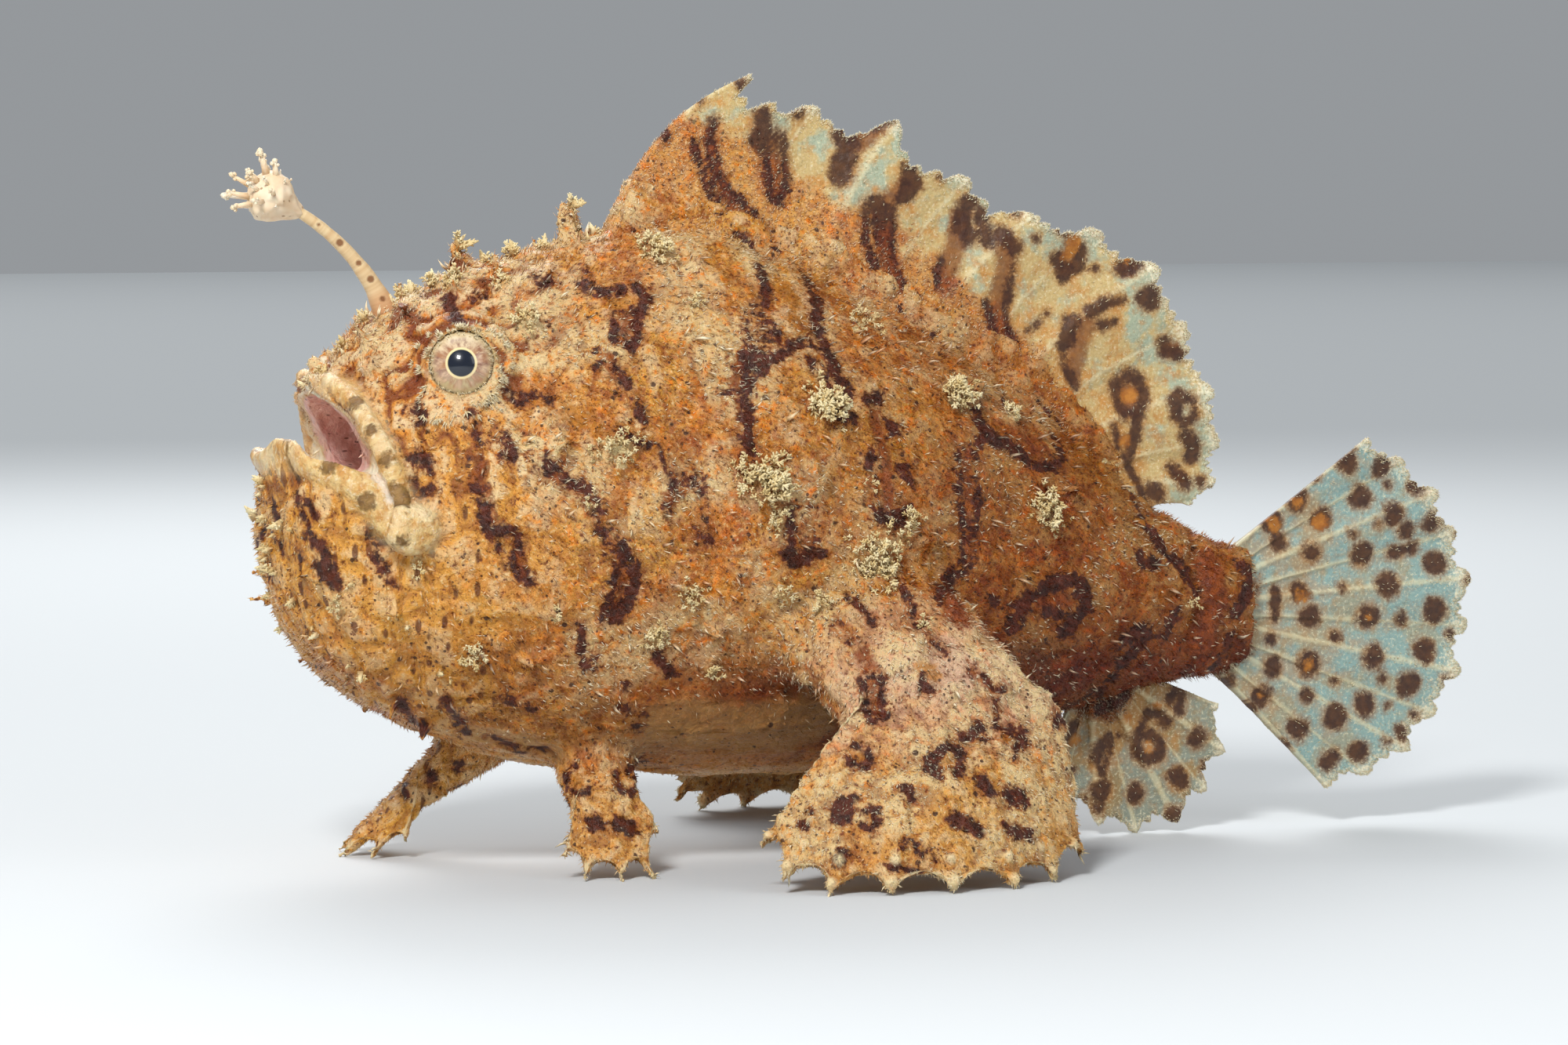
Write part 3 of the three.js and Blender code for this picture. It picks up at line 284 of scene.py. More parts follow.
KNOBS = [  # blunt cream knobs on the rays of the near hand
    (0.75, [(97.8, 106.4)]), (0.75, [(100.4, 110.4)]), (0.85, [(106, 112.6)]), (0.85, [(113.8, 112.6)]),
    (0.85, [(121.8, 112.3)]), (0.85, [(129.6, 112)]), (0.75, [(134.4, 111)]), (0.75, [(137.2, 107.6)]),
    (0.6, [(99.4, 104)]), (0.65, [(102.4, 107.6)]), (0.75, [(107, 109.6)]), (0.8, [(114.2, 109.6)]),
    (0.8, [(121.4, 109.5)]), (0.75, [(128.8, 109.2)]), (0.7, [(133, 108)]), (0.6, [(135.9, 104.6)]),
    (0.5, [(103.2, 104.6)]), (0.5, [(110.6, 107.2)]), (0.55, [(118.2, 106.6)]), (0.5, [(125.6, 106.2)]),
    (0.5, [(132.4, 104.4)]), (0.45, [(104.4, 101)]), (0.45, [(115.2, 104.2)]),
]
FAR_ARM_SHIFT = -13.0  # from the far arm to the near one, whose marks it shares
# a pale rim along the lip, its cream partly its own and partly painted light where the mouth is shaded
RIM = [(0.55, [(39, 56.4), (41, 57), (44, 58.6), (47, 60.2), (49, 61.5), (49.8, 64)])]
MOUTH_MIDDLE = np.array([-60.5, 0.0, 54.5])
MOUTH_REACH = np.array([11.5, 17.0, 11.0])
THROAT_MIDDLE = np.array([-57.5, 0.0, 54.0])
THROAT_REACH = np.array([10.4, 12.0, 5.2])
JAW_TIP = [(0.0, [(34.8, 58.0), (36.8, 58.2)])]  # the blunt front of the jaw, and how it is drawn up
JAW_TIP_MOVE = (0.5, 0.0, 1.8)
FAR_LIP = np.array([-67.6, 4.6, 53.0])  # the lip beyond it, and how it is drawn in
FAR_LIP_MOVE = (0.8, 0.0, -0.9)
TUFTS = [  # place in the picture, radius, how many tags, and their length
    ((105, 51.5), 2.4, 75, 1.5), ((98, 61.5), 3.0, 95, 1.5), ((122, 50), 2.5, 60, 1.4),
    ((112, 71.5), 4.0, 100, 1.3), ((134, 65), 2.6, 60, 1.4), ((60, 83.5), 1.3, 26, 1.2),
    ((43, 77), 1.0, 14, 1.0), ((83.5, 81), 1.4, 26, 1.2), ((91, 86), 1.0, 14, 1.1),
    ((84, 32), 2.3, 45, 1.3), ((79, 57), 3.4, 46, 1.0), ((88.5, 38.5), 1.1, 12, 1.0),
    ((110, 41), 2.0, 28, 1.0), ((129, 53), 1.5, 20, 1.1), ((88, 75.5), 1.6, 22, 1.1),
    ((100, 75.5), 1.4, 14, 1.0), ((105, 77), 1.6, 16, 1.0), ((67, 40.5), 1.8, 26, 1.2),
    ((58, 35.5), 1.4, 22, 1.2), ((64, 36), 1.4, 14, 1.0), ((99, 66.5), 1.6, 20, 1.1),
    ((115.5, 66.5), 2.0, 26, 1.1), ((95, 60), 1.6, 26, 1.2), ((152, 77), 1.0, 8, 0.9),
    ((76, 64), 1.2, 8, 0.9), ((110.5, 62), 1.2, 7, 0.9), ((71, 78), 1.0, 7, 0.9),
    ((53.5, 72.5), 0.9, 9, 0.9), ((118, 80), 1.1, 9, 0.9),
]


def bent(ray, share):
    """Places along a ray, which bends smoothly from its root to its tip. Each ray is root, bend and tip."""
    share = np.asarray(share)[:, None]
    return (1 - share) ** 2 * ray[:, 0] + 2 * share * (1 - share) * ray[:, 1] + share**2 * ray[:, 2]


GRAIN = np.random.default_rng(7).random((32, 32, 32))


def lumps(places, size):
    """Smooth noise from -1 to 1, with lumps about that many millimetres across."""
    spots = np.asarray(places) / size
    base = np.floor(spots).astype(int)
    part = spots - base
    part = part * part * (3.0 - 2.0 * part)
    total = np.zeros(len(spots))
    for corner in np.ndindex(2, 2, 2):
        cell = (base + corner) % len(GRAIN)
        total += np.prod(np.where(corner, part, 1.0 - part), axis=1) * GRAIN[tuple(cell.T)]
    return 2.0 * total - 1.0


def web_between(rays, form, across, height):
    """Places on the web, its half thickness, how high up the fin each lies, and how far from a ray."""
    first = np.minimum(across.astype(int), len(rays) - 2)
    share = across - first
    hollow = 1.0 - np.abs(2.0 * share - 1.0) ** 2.2
    tooth = 1.0 - np.abs(((across * form["teeth"]) % 1.0) * 2.0 - 1.0)
    edge_noise = lumps(np.column_stack([across * 7.0, across * 0.0, across * 0.0]), 1.0)
    notch = np.interp(across, np.arange(len(form["notches"])) + 0.5, form["notches"])
    teeth = form["tooth"] * (tooth - 0.5) * (1.0 + edge_noise)
    reach = 1.0 - notch * hollow * (1.0 + 0.35 * edge_noise) + teeth
    up = -form["sunk"] + (reach + form["sunk"]) * height
    near_ray, next_ray = bent(rays[first], up), bent(rays[first + 1], up)
    places = near_ray + share[:, None] * (next_ray - near_ray)
    spacing = np.linalg.norm(next_ray - near_ray, axis=1)
    from_ray = np.minimum(share, 1.0 - share) * spacing
    crest = np.exp(-((from_ray / form["ridge_width"]) ** 2))
    half = form["web"] + (form["ridge"] * (1.0 - 0.5 * np.clip(up, 0, 1)) - form["web"]) * crest
    half = half + form["root"] * np.clip(1.0 - up / form["root_share"], 0.0, 1.3) ** 2
    half = half + form["knob"] * crest * np.exp(-(((up - 0.96) / 0.035) ** 2))
    turn = np.where(first % 2, 1.0, -1.0)
    places[:, 1] += form["billow"] * turn * hollow * np.clip(up, 0, 1) ** 0.7
    return places, half, up, from_ray


def give(mesh, **values):
    """Keeps a number or a direction at each vertex, for the materials to read."""
    for name, value in values.items():
        kind = "FLOAT" if value.ndim == 1 else "FLOAT_VECTOR"
        field = "value" if value.ndim == 1 else "vector"
        made = mesh.attributes.new(name, kind, "POINT")
        made.data.foreach_set(field, np.ascontiguousarray(value, dtype=np.float32).ravel())


def corners_of(mesh):
    """The vertices of a mesh as rows of X, Y, Z."""
    places = np.empty(len(mesh.vertices) * 3, dtype=np.float32)
    mesh.vertices.foreach_get("co", places)
    return places.reshape(-1, 3).astype(float)


def move_corners(mesh, places):
    mesh.vertices.foreach_set("co", np.ascontiguousarray(places, dtype=np.float32).ravel())
    mesh.update()


def start_piece(name):
    """The new primitive, named, with its place in its mesh and nothing else selected."""
    piece = bpy.context.object
    piece.name = name
    piece.data.name = name
    bpy.ops.object.transform_apply(location=True, rotation=True, scale=True)
    return piece


def sail_rays():
    """The sail's rays, each as its root, the bend in its middle and its tip."""
    rays = []
    for i, ((x0, z0), (x1, z1), sway) in enumerate(SAIL_RAYS):
        bow = LEADING_BOW if i == 0 else SAIL_BOW
        middle = ((x0 + x1) / 2 - 0.7 * bow, 1.1 * sway, (z0 + z1) / 2 + bow)
        rays.append([(x0, 0.0, z0), middle, (x1, sway, z1)])
    return np.array(rays)


def web_sheet(name, rays, form, reach=1.0):
    """A flat grid for the web, how far across and up each corner lies, and what web_between says of it."""
    bpy.ops.object.select_all(action="DESELECT")
    columns = (len(rays) - 1) * form["columns"]
    bpy.ops.mesh.primitive_grid_add(x_subdivisions=columns, y_subdivisions=form["rows"], size=1.0)
    sheet = start_piece(name)
    flat = corners_of(sheet.data)
    across, height = (flat[:, 0] + 0.5) * (len(rays) - 1), (flat[:, 1] + 0.5) * reach
    return sheet, across, height, web_between(rays, form, across, height)


def thicken(sheet, half):
    """Gives a sheet its thickness, which differs from place to place."""
    thick = half.max()
    group = sheet.vertex_groups.new(name="thickness")
    for i, value in enumerate(half):
        group.add([i], value / thick, "REPLACE")
    bpy.ops.object.modifier_add(type="SOLIDIFY")
    shell = sheet.modifiers[-1]
    shell.thickness, shell.offset, shell.vertex_group = 2 * thick * MM, 0.0, "thickness"
    bpy.ops.object.modifier_apply(modifier=shell.name)


def copy_of(name):
    """A copy of one solid, with its loose triangles merged."""
    bpy.ops.object.select_all(action="DESELECT")
    made = bpy.data.objects.new("flesh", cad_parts[name].data.copy())
    bpy.context.collection.objects.link(made)
    made.select_set(True)
    bpy.context.view_layer.objects.active = made
    bpy.ops.object.mode_set(mode="EDIT")
    bpy.ops.mesh.select_all(action="SELECT")
    bpy.ops.mesh.remove_doubles(threshold=0.0001 * MM)
    bpy.ops.object.mode_set(mode="OBJECT")
    return made


def triangles_of(mesh):
    """The triangles of a mesh as rows of three vertices."""
    mesh.calc_loop_triangles()
    corners = np.empty(len(mesh.loop_triangles) * 3, dtype=np.int32)
    mesh.loop_triangles.foreach_get("vertices", corners)
    return corners.reshape(-1, 3)


def outward(mesh):
    """The way out of the surface at each vertex."""
    ways = np.empty(len(mesh.vertices) * 3, dtype=np.float32)
    mesh.vertex_normals.foreach_get("vector", ways)
    return ways.reshape(-1, 3).astype(float)


solids = [copy_of(name) for name in FLESH]
part_of_face, flesh_corners, flesh_faces = [], [], []
for number, solid in enumerate(solids):
    faces = triangles_of(solid.data)
    flesh_faces.append(faces + sum(len(c) for c in flesh_corners))
    flesh_corners.append(to_animal(corners_of(solid.data)))
    part_of_face.append(np.full(len(faces), number))
part_of_face = np.concatenate(part_of_face)
flesh = BVHTree.FromPolygons(np.vstack(flesh_corners).tolist(), np.vstack(flesh_faces).tolist())


def on_skin(strokes):
    """Brush strokes laid on the near side of the skin, half a millimetre between the places."""
    laid = []
    for half, line in strokes:
        spots = [line[0]]
        for (x0, y0), (x1, y1) in zip(line, line[1:]):
            steps = max(1, round(math.hypot(x1 - x0, y1 - y0) / 0.5))
            spots += [(x0 + (x1 - x0) * k / steps, y0 + (y1 - y0) * k / steps) for k in range(1, steps + 1)]
        hits = [surface.ray_cast(*sight_line(*spot))[0] for spot in spots]
        hits = [np.array(hit) for hit in hits if hit is not None]
        if hits:
            laid.append((half, np.array(hits)))
    return laid


# the fleshy foot of the sail
foot, _, _, (places, half, up, _) = web_sheet("sail_foot", sail_rays(), FOOT_FORM, FOOT_REACH)
half = half + 0.5 * (1.0 - np.clip(up / FOOT_REACH, 0, 1)) - 0.35 * rise(up, 0.6 * FOOT_REACH, FOOT_REACH)
move_corners(foot.data, to_scene(places))
thicken(foot, half)

for solid in solids:
    swollen = corners_of(solid.data) + outward(solid.data) * SWELL * MM
    move_corners(solid.data, swollen)
bpy.ops.object.select_all(action="DESELECT")
for solid in [foot, *solids]:
    solid.select_set(True)
bpy.context.view_layer.objects.active = solids[0]
bpy.ops.object.join()
skin = bpy.context.object
skin.name = "skin"
skin.data.name = "skin"
skin.vertex_groups.clear()
skin.data.materials.clear()
skin.data.remesh_voxel_size = VOXEL * MM
bpy.ops.object.voxel_remesh()
bpy.ops.object.modifier_add(type="SMOOTH")
skin.modifiers[-1].factor, skin.modifiers[-1].iterations = 0.5, SMOOTHING
bpy.ops.object.modifier_apply(modifier=skin.modifiers[-1].name)
bpy.ops.object.modifier_add(type="DECIMATE")
skin.modifiers[-1].ratio = min(1.0, SKIN_TRIANGLES / (2 * len(skin.data.polygons)))
bpy.ops.object.modifier_apply(modifier=skin.modifiers[-1].name)
bpy.ops.object.shade_smooth()


def belongs(part, *words):
    """Whether each place lies on a solid whose name has one of these words in it."""
    return np.array([any(word in name for word in words) for name in FLESH])[part]


places, ways = to_animal(corners_of(skin.data)), outward(skin.data)
surface = BVHTree.FromPolygons(places.tolist(), triangles_of(skin.data).tolist())
found = [flesh.find_nearest(place) for place in places]
part = np.array([part_of_face[hit[2]] for hit in found])
off_flesh = np.array([hit[3] for hit in found])
on_fin = rise(off_flesh, 0.7, 2.4)  # 1 on the foot of the sail
small = belongs(part, "hand", "leg").astype(float)
far_arm = belongs(part, "arm_right", "hand_right")
leg = belongs(part, "leg")
edges = np.empty(len(skin.data.edges) * 2, dtype=np.int32)
skin.data.edges.foreach_get("vertices", edges)
edges = edges.reshape(-1, 2)


def blurred(values, times):
    """The mean of each value and its neighbours', a number of times."""
    ends = np.concatenate([edges, edges[:, ::-1]])
    count = np.bincount(ends[:, 0], minlength=len(values)) + 1.0
    for _ in range(times):
        values = (values + np.bincount(ends[:, 0], weights=values[ends[:, 1]], minlength=len(values))) / count
    return values


def rolled(gap, half):
    """How far a round lip or pad stands up, from 0 at its edge to 1 along its middle."""
    return np.sqrt(np.clip(1.0 - ((gap + half) / half) ** 2, 0.0, 1.0))


def near_side(places, far_arm, leg):
    """Where each place lies on the near side. The far side carries the same pattern, a little shifted."""
    x, y, z = places.T
    shift = (2.5 + 1.5 * np.sin(z / 9.0)) * rise(y, 0.0, 7.0) * rise(x, -52.0, -36.0)
    shift = np.where(far_arm, FAR_ARM_SHIFT, np.where(leg, 0.0, shift))
    return np.column_stack([x + np.where(y > 0, shift, 0.0), np.where(leg, y, -np.abs(y)), z])


# how far each corner is from the lips, pads, eyes and throat, and which corners are bare of coat
small = blurred(small, 12)
mean_places = np.column_stack([blurred(places[:, k], 9) for k in range(3)])
convex = np.sum((places - mean_places) * ways, axis=1)
point = rise(convex, 0.1, 0.24) * rise(small, 0.3, 0.7)  # finger tips and the rims of hands and feet
near = near_side(places, far_arm, leg)
knob = 1.0 - rise(gap_to(near, on_skin(KNOBS)), -0.7, 0.5)
point = np.maximum(point, knob)
lip_gap = np.minimum(gap_to(near, on_skin(UPPER_LIP)), gap_to(near, on_skin(LOWER_LIP)))
pad_gap = gap_to(near, on_skin(PAD))
eyes = {side: to_animal(sum(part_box(f"eye_{side}"), Vector()) / 2) for side in ("left", "right")}
eye_gap = np.min([np.linalg.norm(places - eye, axis=1) for eye in eyes.values()], axis=0)
throat = np.linalg.norm((places - THROAT_MIDDLE) / THROAT_REACH, axis=1)
to_mouth = MOUTH_MIDDLE - places
mouth_gap = np.linalg.norm(to_mouth, axis=1)
in_mouth = 1.0 - rise(np.linalg.norm(to_mouth / MOUTH_REACH, axis=1), 0.9, 1.1)
inner = rise(np.sum(ways * to_mouth, axis=1) / mouth_gap, 0.0, 0.16) * in_mouth
lining = (1.0 - rise(throat, 0.95, 1.15)) * rise(lip_gap, -0.6, 0.4)
mouth = inner * (2.0 * lining - 1.0)  # above 0 on the lining, below 0 on the inner side of the lips
off_lip, off_pad, off_eye = rise(lip_gap, 0.0, 0.8), rise(pad_gap, 0.0, 1.0), rise(eye_gap, 4.6, 5.6)
bare = np.max([inner, mouth, 1.0 - off_lip, 1.0 - off_pad, 1.0 - off_eye], axis=0)
tuft_gap = gap_to(near, on_skin([(0.55 * radius, [at]) for at, radius, _, _ in TUFTS]))
pale = gap_to(near, on_skin(PALE))
fold_lines = on_skin(FOLDS)

# how deep the skin lies under its coat, and the lumps and creases that it has of its own
depth = COAT_DEPTH["trunk"] + (COAT_DEPTH["small"] - COAT_DEPTH["trunk"]) * small
depth = depth * (1.0 - bare) + COAT_DEPTH["bare"] * bare
sink = (SWELL + depth) * (1.0 - on_fin)
calm = (1.0 - 0.9 * bare) * (1.0 - 0.5 * small)
face = rise(-places[:, 0], 30.0, 44.0) * rise(places[:, 2], 40.0, 58.0)
wrinkle = rise(np.abs(lumps(places, 3.4) + 0.4 * lumps(places, 1.5)), 0.04, 0.5) - 0.5
warty = rise(np.abs(lumps(places, 1.7)), 0.05, 0.5) - 0.5
relief = 0.42 * lumps(places, 7.0) + (0.4 + 0.35 * face) * wrinkle + 0.16 * lumps(places, 1.4)
swell = calm * relief + 0.28 * small * warty + 0.75 * knob
ridge = calm * (wrinkle * (0.5 + 0.5 * face) * (1.0 - small) + 1.1 * warty * small)

# where the skin is frosted with cream: less on the golden cheek and jaw, more on the face as painted light,
# and less on the lower and hinder parts as painted shade
golden = rise(-places[:, 0], 32.0, 40.0) * (1.0 - rise(places[:, 2], 57.0, 64.0))
frost_and_painted_light = rise(lumps(places, 5.5) + 0.4 * lumps(places, 2.0) + 0.2 * face - 0.6 * golden, -0.15, 0.5)
behind_head = rise(places[:, 0], -34.0, -14.0)
low_flank = (0.4 + 0.6 * behind_head) * (1.0 - rise(places[:, 2], 24.0, 42.0))
# painted shade: less frost, so a darker skin, on the lower flanks behind the head and on the hinder body
shaded_parts = np.maximum(low_flank, 0.7 * rise(places[:, 0], -12.0, 8.0)) * (1.0 - small) * (places[:, 1] > -24.0)
frost_and_painted_light = frost_and_painted_light * (1.0 - 0.6 * shaded_parts)

# folds, round lips and pads, a heap under each clump of tufts, and the tips of the jaw and the far lip
groove = np.zeros(len(places))
for half, line in fold_lines:
    groove = np.maximum(groove, 0.55 * half * np.exp(-((gap_to(near, [(0.0, line)]) / half) ** 2)))
full = 0.75 * rolled(gap_to(near, on_skin(UPPER_LIP)), UPPER_LIP[0][0])
full += 0.45 * (1.0 - rise(lip_gap, 0.2, 3.5))
full += 0.3 * rolled(pad_gap, PAD[0][0])
heap = (1.0 - rise(tuft_gap, -0.8, 1.4)) * (0.5 + 0.45 * lumps(places, 0.9))
jaw_tip = np.exp(-((gap_to(places, on_skin(JAW_TIP)) / 2.2) ** 2))
far_tip = np.exp(-((np.linalg.norm(places - FAR_LIP, axis=1) / 2.6) ** 2))
moves = ways * (swell - sink - groove + full * (1.0 - inner) + heap)[:, None]
moves += jaw_tip[:, None] * JAW_TIP_MOVE
moves += far_tip[:, None] * FAR_LIP_MOVE
move_corners(skin.data, to_scene(places + moves))


def zones(places):
    """How far each place lies in the parts of the body that have a tone of their own, and in the lower flanks
    and the hinder body, which are darkened as painted shade.
    """
    x, y, z = places.T

    def ramp(value, low, high):
        return np.clip((value - low) / (high - low), 0.0, 1.0)

    # painted shade on the lower flanks, strongest behind the head, fading out at the very bottom and on the
    # near arm
    under = (0.25 + 0.65 * ramp(x, -34.0, -14.0)) * ramp(z, 32.0, 23.0)
    return {
        "low_down": ramp(z, 19.0, 9.0),
        "arm_skin": ramp(y, -23.5, -30.0) * ramp(z, 14.0, 24.0),
        "jaw_skin": ramp(x, -38.0, -46.0) * ramp(z, 57.0, 50.0),
        "cheek_skin": ramp(x, -30.0, -42.0) * ramp(z, 66.0, 58.0) * ramp(z, 22.0, 32.0),
        "under": under * ramp(z, 10.0, 15.0) * ramp(y, -25.0, -20.0),
        # painted shade on the hinder body, growing towards the tail and down from the top of the back
        "shaded_rear": 0.85 * ramp(x, -14.0, 22.0) * ramp(z, 78.0, 50.0) * ramp(y, -30.0, -23.0),
    }


skin_values = {
    **zones(near),
    "place": near,
    "dark": np.minimum(gap_to(near, on_skin(BODY_DARK)), gap_to(near, on_skin(LIMB_DARK)) + 0.12),
    "brown": gap_to(near, on_skin(BODY_BROWN + LIMB_BROWN)),
    "amber": gap_to(near, on_skin(BODY_AMBER + LIMB_AMBER)),
    "pale": pale,
    "lip": np.min([lip_gap, pad_gap, 1.3 - 2.4 * inner], axis=0),
    "saddle": gap_to(near, on_skin(LIP_SADDLES)),
    "rim": gap_to(near, on_skin(RIM)),
    "mouth": mouth,
    "eye": eye_gap,
    "tuft": tuft_gap,
    "point": point,
    "ridge": ridge,
    "frost_and_painted_light": frost_and_painted_light,
}
MARKS = ("place", "dark", "brown", "amber", "pale", "tuft", "saddle", "rim")
KEPT = [name for name in skin_values if name not in MARKS]  # read straight, where pigment reads the marks
give(skin.data, **skin_values)


def srgb(code, alpha=1.0):
    """The linear colour of an sRGB hex value."""
    parts = [int(code[i : i + 2], 16) / 255 for i in (1, 3, 5)]
    return (*[p / 12.92 if p <= 0.04045 else ((p + 0.055) / 1.055) ** 2.4 for p in parts], alpha)


def add(tree, kind, inputs=None, **settings):
    """A node with its settings, and with each input linked or set."""
    made = tree.nodes.new("ShaderNode" + kind)
    for name, value in settings.items():
        setattr(made, name, value)
    for key, value in (inputs or {}).items():
        if isinstance(value, bpy.types.NodeSocket):
            tree.links.new(value, made.inputs[key])
        else:
            made.inputs[key].default_value = value
    return made


def new_material(name):
    """An empty material, and its tree of nodes."""
    material = bpy.data.materials.new(name)
    material.use_nodes = True
    material.node_tree.nodes.clear()
    return material, material.node_tree


def tint(tree, colour, tone, value, low, high, share=1.0, where=None):
    """Lays a tone over the colour, from nothing where the value is low to its full share where it is high."""
    span = {"Value": value, "From Min": low, "From Max": high, "To Max": share}
    amount = add(tree, "MapRange", span).outputs[0]
    if where is not None:
        amount = add(tree, "Math", {0: amount, 1: where}, operation="MULTIPLY").outputs[0]
    tone = tone if isinstance(tone, bpy.types.NodeSocket) else srgb(tone)
    return add(tree, "Mix", {0: amount, 6: colour, 7: tone}, data_type="RGBA").outputs[2]


def stray(tree, value, noise, reach, low=0.3, high=0.7):
    """The value, moved to and fro by up to the reach as the noise rises."""
    span = {"Value": noise, "From Min": low, "From Max": high, "To Min": -reach, "To Max": reach}
    shift = add(tree, "MapRange", span).outputs[0]
    return add(tree, "Math", {0: value, 1: shift}, operation="ADD").outputs[0]


def pigment(tree, colour, place, mark, tones, wander, soft, strength=0.95, shrink=0.0):
    """Lays a mark's colour over the skin, with a wandering edge."""
    gap = add(tree, "Attribute", attribute_name=mark).outputs["Fac"]
    line = add(tree, "Math", {0: gap, 1: wander}, operation="ADD").outputs[0]
    span = {"Value": line, "From Min": -shrink - soft, "From Max": soft - shrink, "To Min": strength}
    inside = add(tree, "MapRange", {**span, "To Max": 0.0}, interpolation_type="SMOOTHSTEP").outputs[0]
    shade = add(tree, "TexNoise", {"Vector": place, "Scale": 0.9, "Detail": 2.0}).outputs["Fac"]
    tone = tint(tree, srgb(tones[0]), tones[1], shade, 0.38, 0.62)
    return add(tree, "Mix", {0: inside, 6: colour, 7: tone}, data_type="RGBA").outputs[2]


def flesh_colour(tree):
    """The skin's colour and its fine relief. The noises make patches 17, 5, 1.3 and 0.6 mm across, and the
    pebbles stand 1.25 mm apart. Real pores and grains are finer, and are drawn as coarse as they show."""
    place = add(tree, "Attribute", attribute_name="place").outputs["Vector"]
    kept = {name: add(tree, "Attribute", attribute_name=name).outputs["Fac"] for name in KEPT}
    drift, patch, fleck, speck = (
        add(
            tree, "TexNoise", {"Vector": place, "Scale": scale, "Detail": detail, "Roughness": rough}
        ).outputs["Fac"]
        for scale, detail, rough in ((0.06, 3.0, 0.5), (0.2, 4.0, 0.6), (0.75, 3.0, 0.6), (1.7, 4.0, 0.65))
    )
    pebble = add(tree, "TexVoronoi", {"Vector": place, "Scale": 0.8}, feature="F1").outputs["Distance"]
    broken = add(tree, "MapRange", {"Value": fleck, "From Min": 0.34, "From Max": 0.54}).outputs[0]
    patchy = add(tree, "MapRange", {"Value": patch, "From Min": 0.65, "From Max": 0.4}).outputs[0]
    # orange ground
    colour = tint(tree, srgb("#C87F24"), "#B8621A", patch, 0.42, 0.58)
    colour = tint(tree, colour, "#CC8F34", drift, 0.46, 0.6)
    colour = tint(tree, colour, "#9E5426", fleck, 0.48, 0.58, 0.7)
    colour = tint(tree, colour, "#E07C12", fleck, 0.44, 0.36, 0.9)
    colour = tint(tree, colour, "#D69E50", kept["low_down"], 0.0, 1.0, 0.65)
    colour = tint(tree, colour, "#D9A860", pebble, 0.4, 0.75, 0.4)
    colour = tint(tree, colour, "#D5B193", patch, 0.25, 0.55, 0.85, kept["arm_skin"])
    colour = tint(tree, colour, "#D29634", kept["jaw_skin"], 0.0, 1.0, 0.85, patchy)
    colour = tint(tree, colour, "#E6A44A", kept["cheek_skin"], 0.0, 1.0, 0.45)
    # cream on the crests of the lumps, rust-brown in the creases as painted shade
    colour = tint(tree, colour, "#E3C798", kept["ridge"], 0.08, 0.38, 0.8, broken)
    # cream frost, raised on the face as painted light and cut on the lower and hinder parts as painted shade
    colour = tint(tree, colour, "#DBC08A", kept["frost_and_painted_light"], 0.1, 0.8, 0.7, broken)
    colour = tint(tree, colour, "#EBD09A", speck, 0.57, 0.68, 0.7)
    colour = tint(tree, colour, "#6E300E", speck, 0.44, 0.34, 0.9)
    # painted shade: rust-brown deepening into the creases of the skin's relief
    colour = tint(tree, colour, "#76300F", kept["ridge"], -0.12, -0.4, 0.85)
    # painted shade: the lower flanks and the hinder body are darkened by multiplying
    for zone, shade in (("under", "#B47A3E"), ("shaded_rear", "#C6A468")):
        colour = add(
            tree, "Mix", {0: kept[zone], 6: colour, 7: srgb(shade)}, data_type="RGBA", blend_type="MULTIPLY"
        ).outputs[2]
    # the smooth belly's darker brown is painted shade
    colour = pigment(tree, colour, place, "pale", ("#A57840", "#B4884E"), patch, 1.6, 0.7, -0.5)
    scrappy = stray(tree, 0.1, fleck, 1.7)
    colour = pigment(tree, colour, place, "tuft", ("#DECB98", "#CDB27C"), scrappy, 0.8, 0.9)
    # bands and spots
    ragged = stray(tree, stray(tree, 0.25, fleck, 0.9, 0.2, 0.8), speck, 0.25)
    colour = pigment(tree, colour, place, "brown", ("#8C4214", "#6A2D10"), ragged, 0.5, 0.85, -0.45)
    colour = pigment(tree, colour, place, "amber", ("#C07A20", "#A0661C"), ragged, 0.5, 0.75, -0.45)
    for scale, size, driver, share in ((0.42, 0.17, fleck, 0.9), (0.95, 0.2, patch, 0.85)):  # 2.4 and 1 mm
        dots = add(tree, "TexVoronoi", {"Vector": place, "Scale": scale}, feature="F1").outputs["Distance"]
        span = {"Value": driver, "From Min": 0.38, "From Max": 0.56, "To Max": size}
        size = add(tree, "MapRange", span).outputs[0]
        dot = add(tree, "Math", {0: dots, 1: size}, operation="SUBTRACT").outputs[0]
        colour = tint(tree, colour, "#3A190C", dot, 0.02, -0.04, share)
    dash_place = add(tree, "VectorMath", {0: place, 1: (0.55, 0.55, 0.2)}, operation="MULTIPLY").outputs[0]
    drawn = {"Vector": dash_place, "Scale": 1.0, "Randomness": 0.9}  # upright dashes, 2 by 5 mm apart
    dashes = add(tree, "TexVoronoi", drawn, feature="F1").outputs["Distance"]
    colour = tint(tree, colour, "#5E2C12", dashes, 0.27, 0.19, 0.85, kept["jaw_skin"])
    colour = pigment(tree, colour, place, "dark", ("#A85C16", "#6A3414"), ragged, 0.5, 0.75, -0.8)
    colour = pigment(tree, colour, place, "dark", ("#551F10", "#34140C"), ragged, 0.22, shrink=-0.45)
    colour = pigment(tree, colour, place, "brown", ("#9C4A12", "#6E2C10"), ragged, 0.4, 0.7, 0.55)
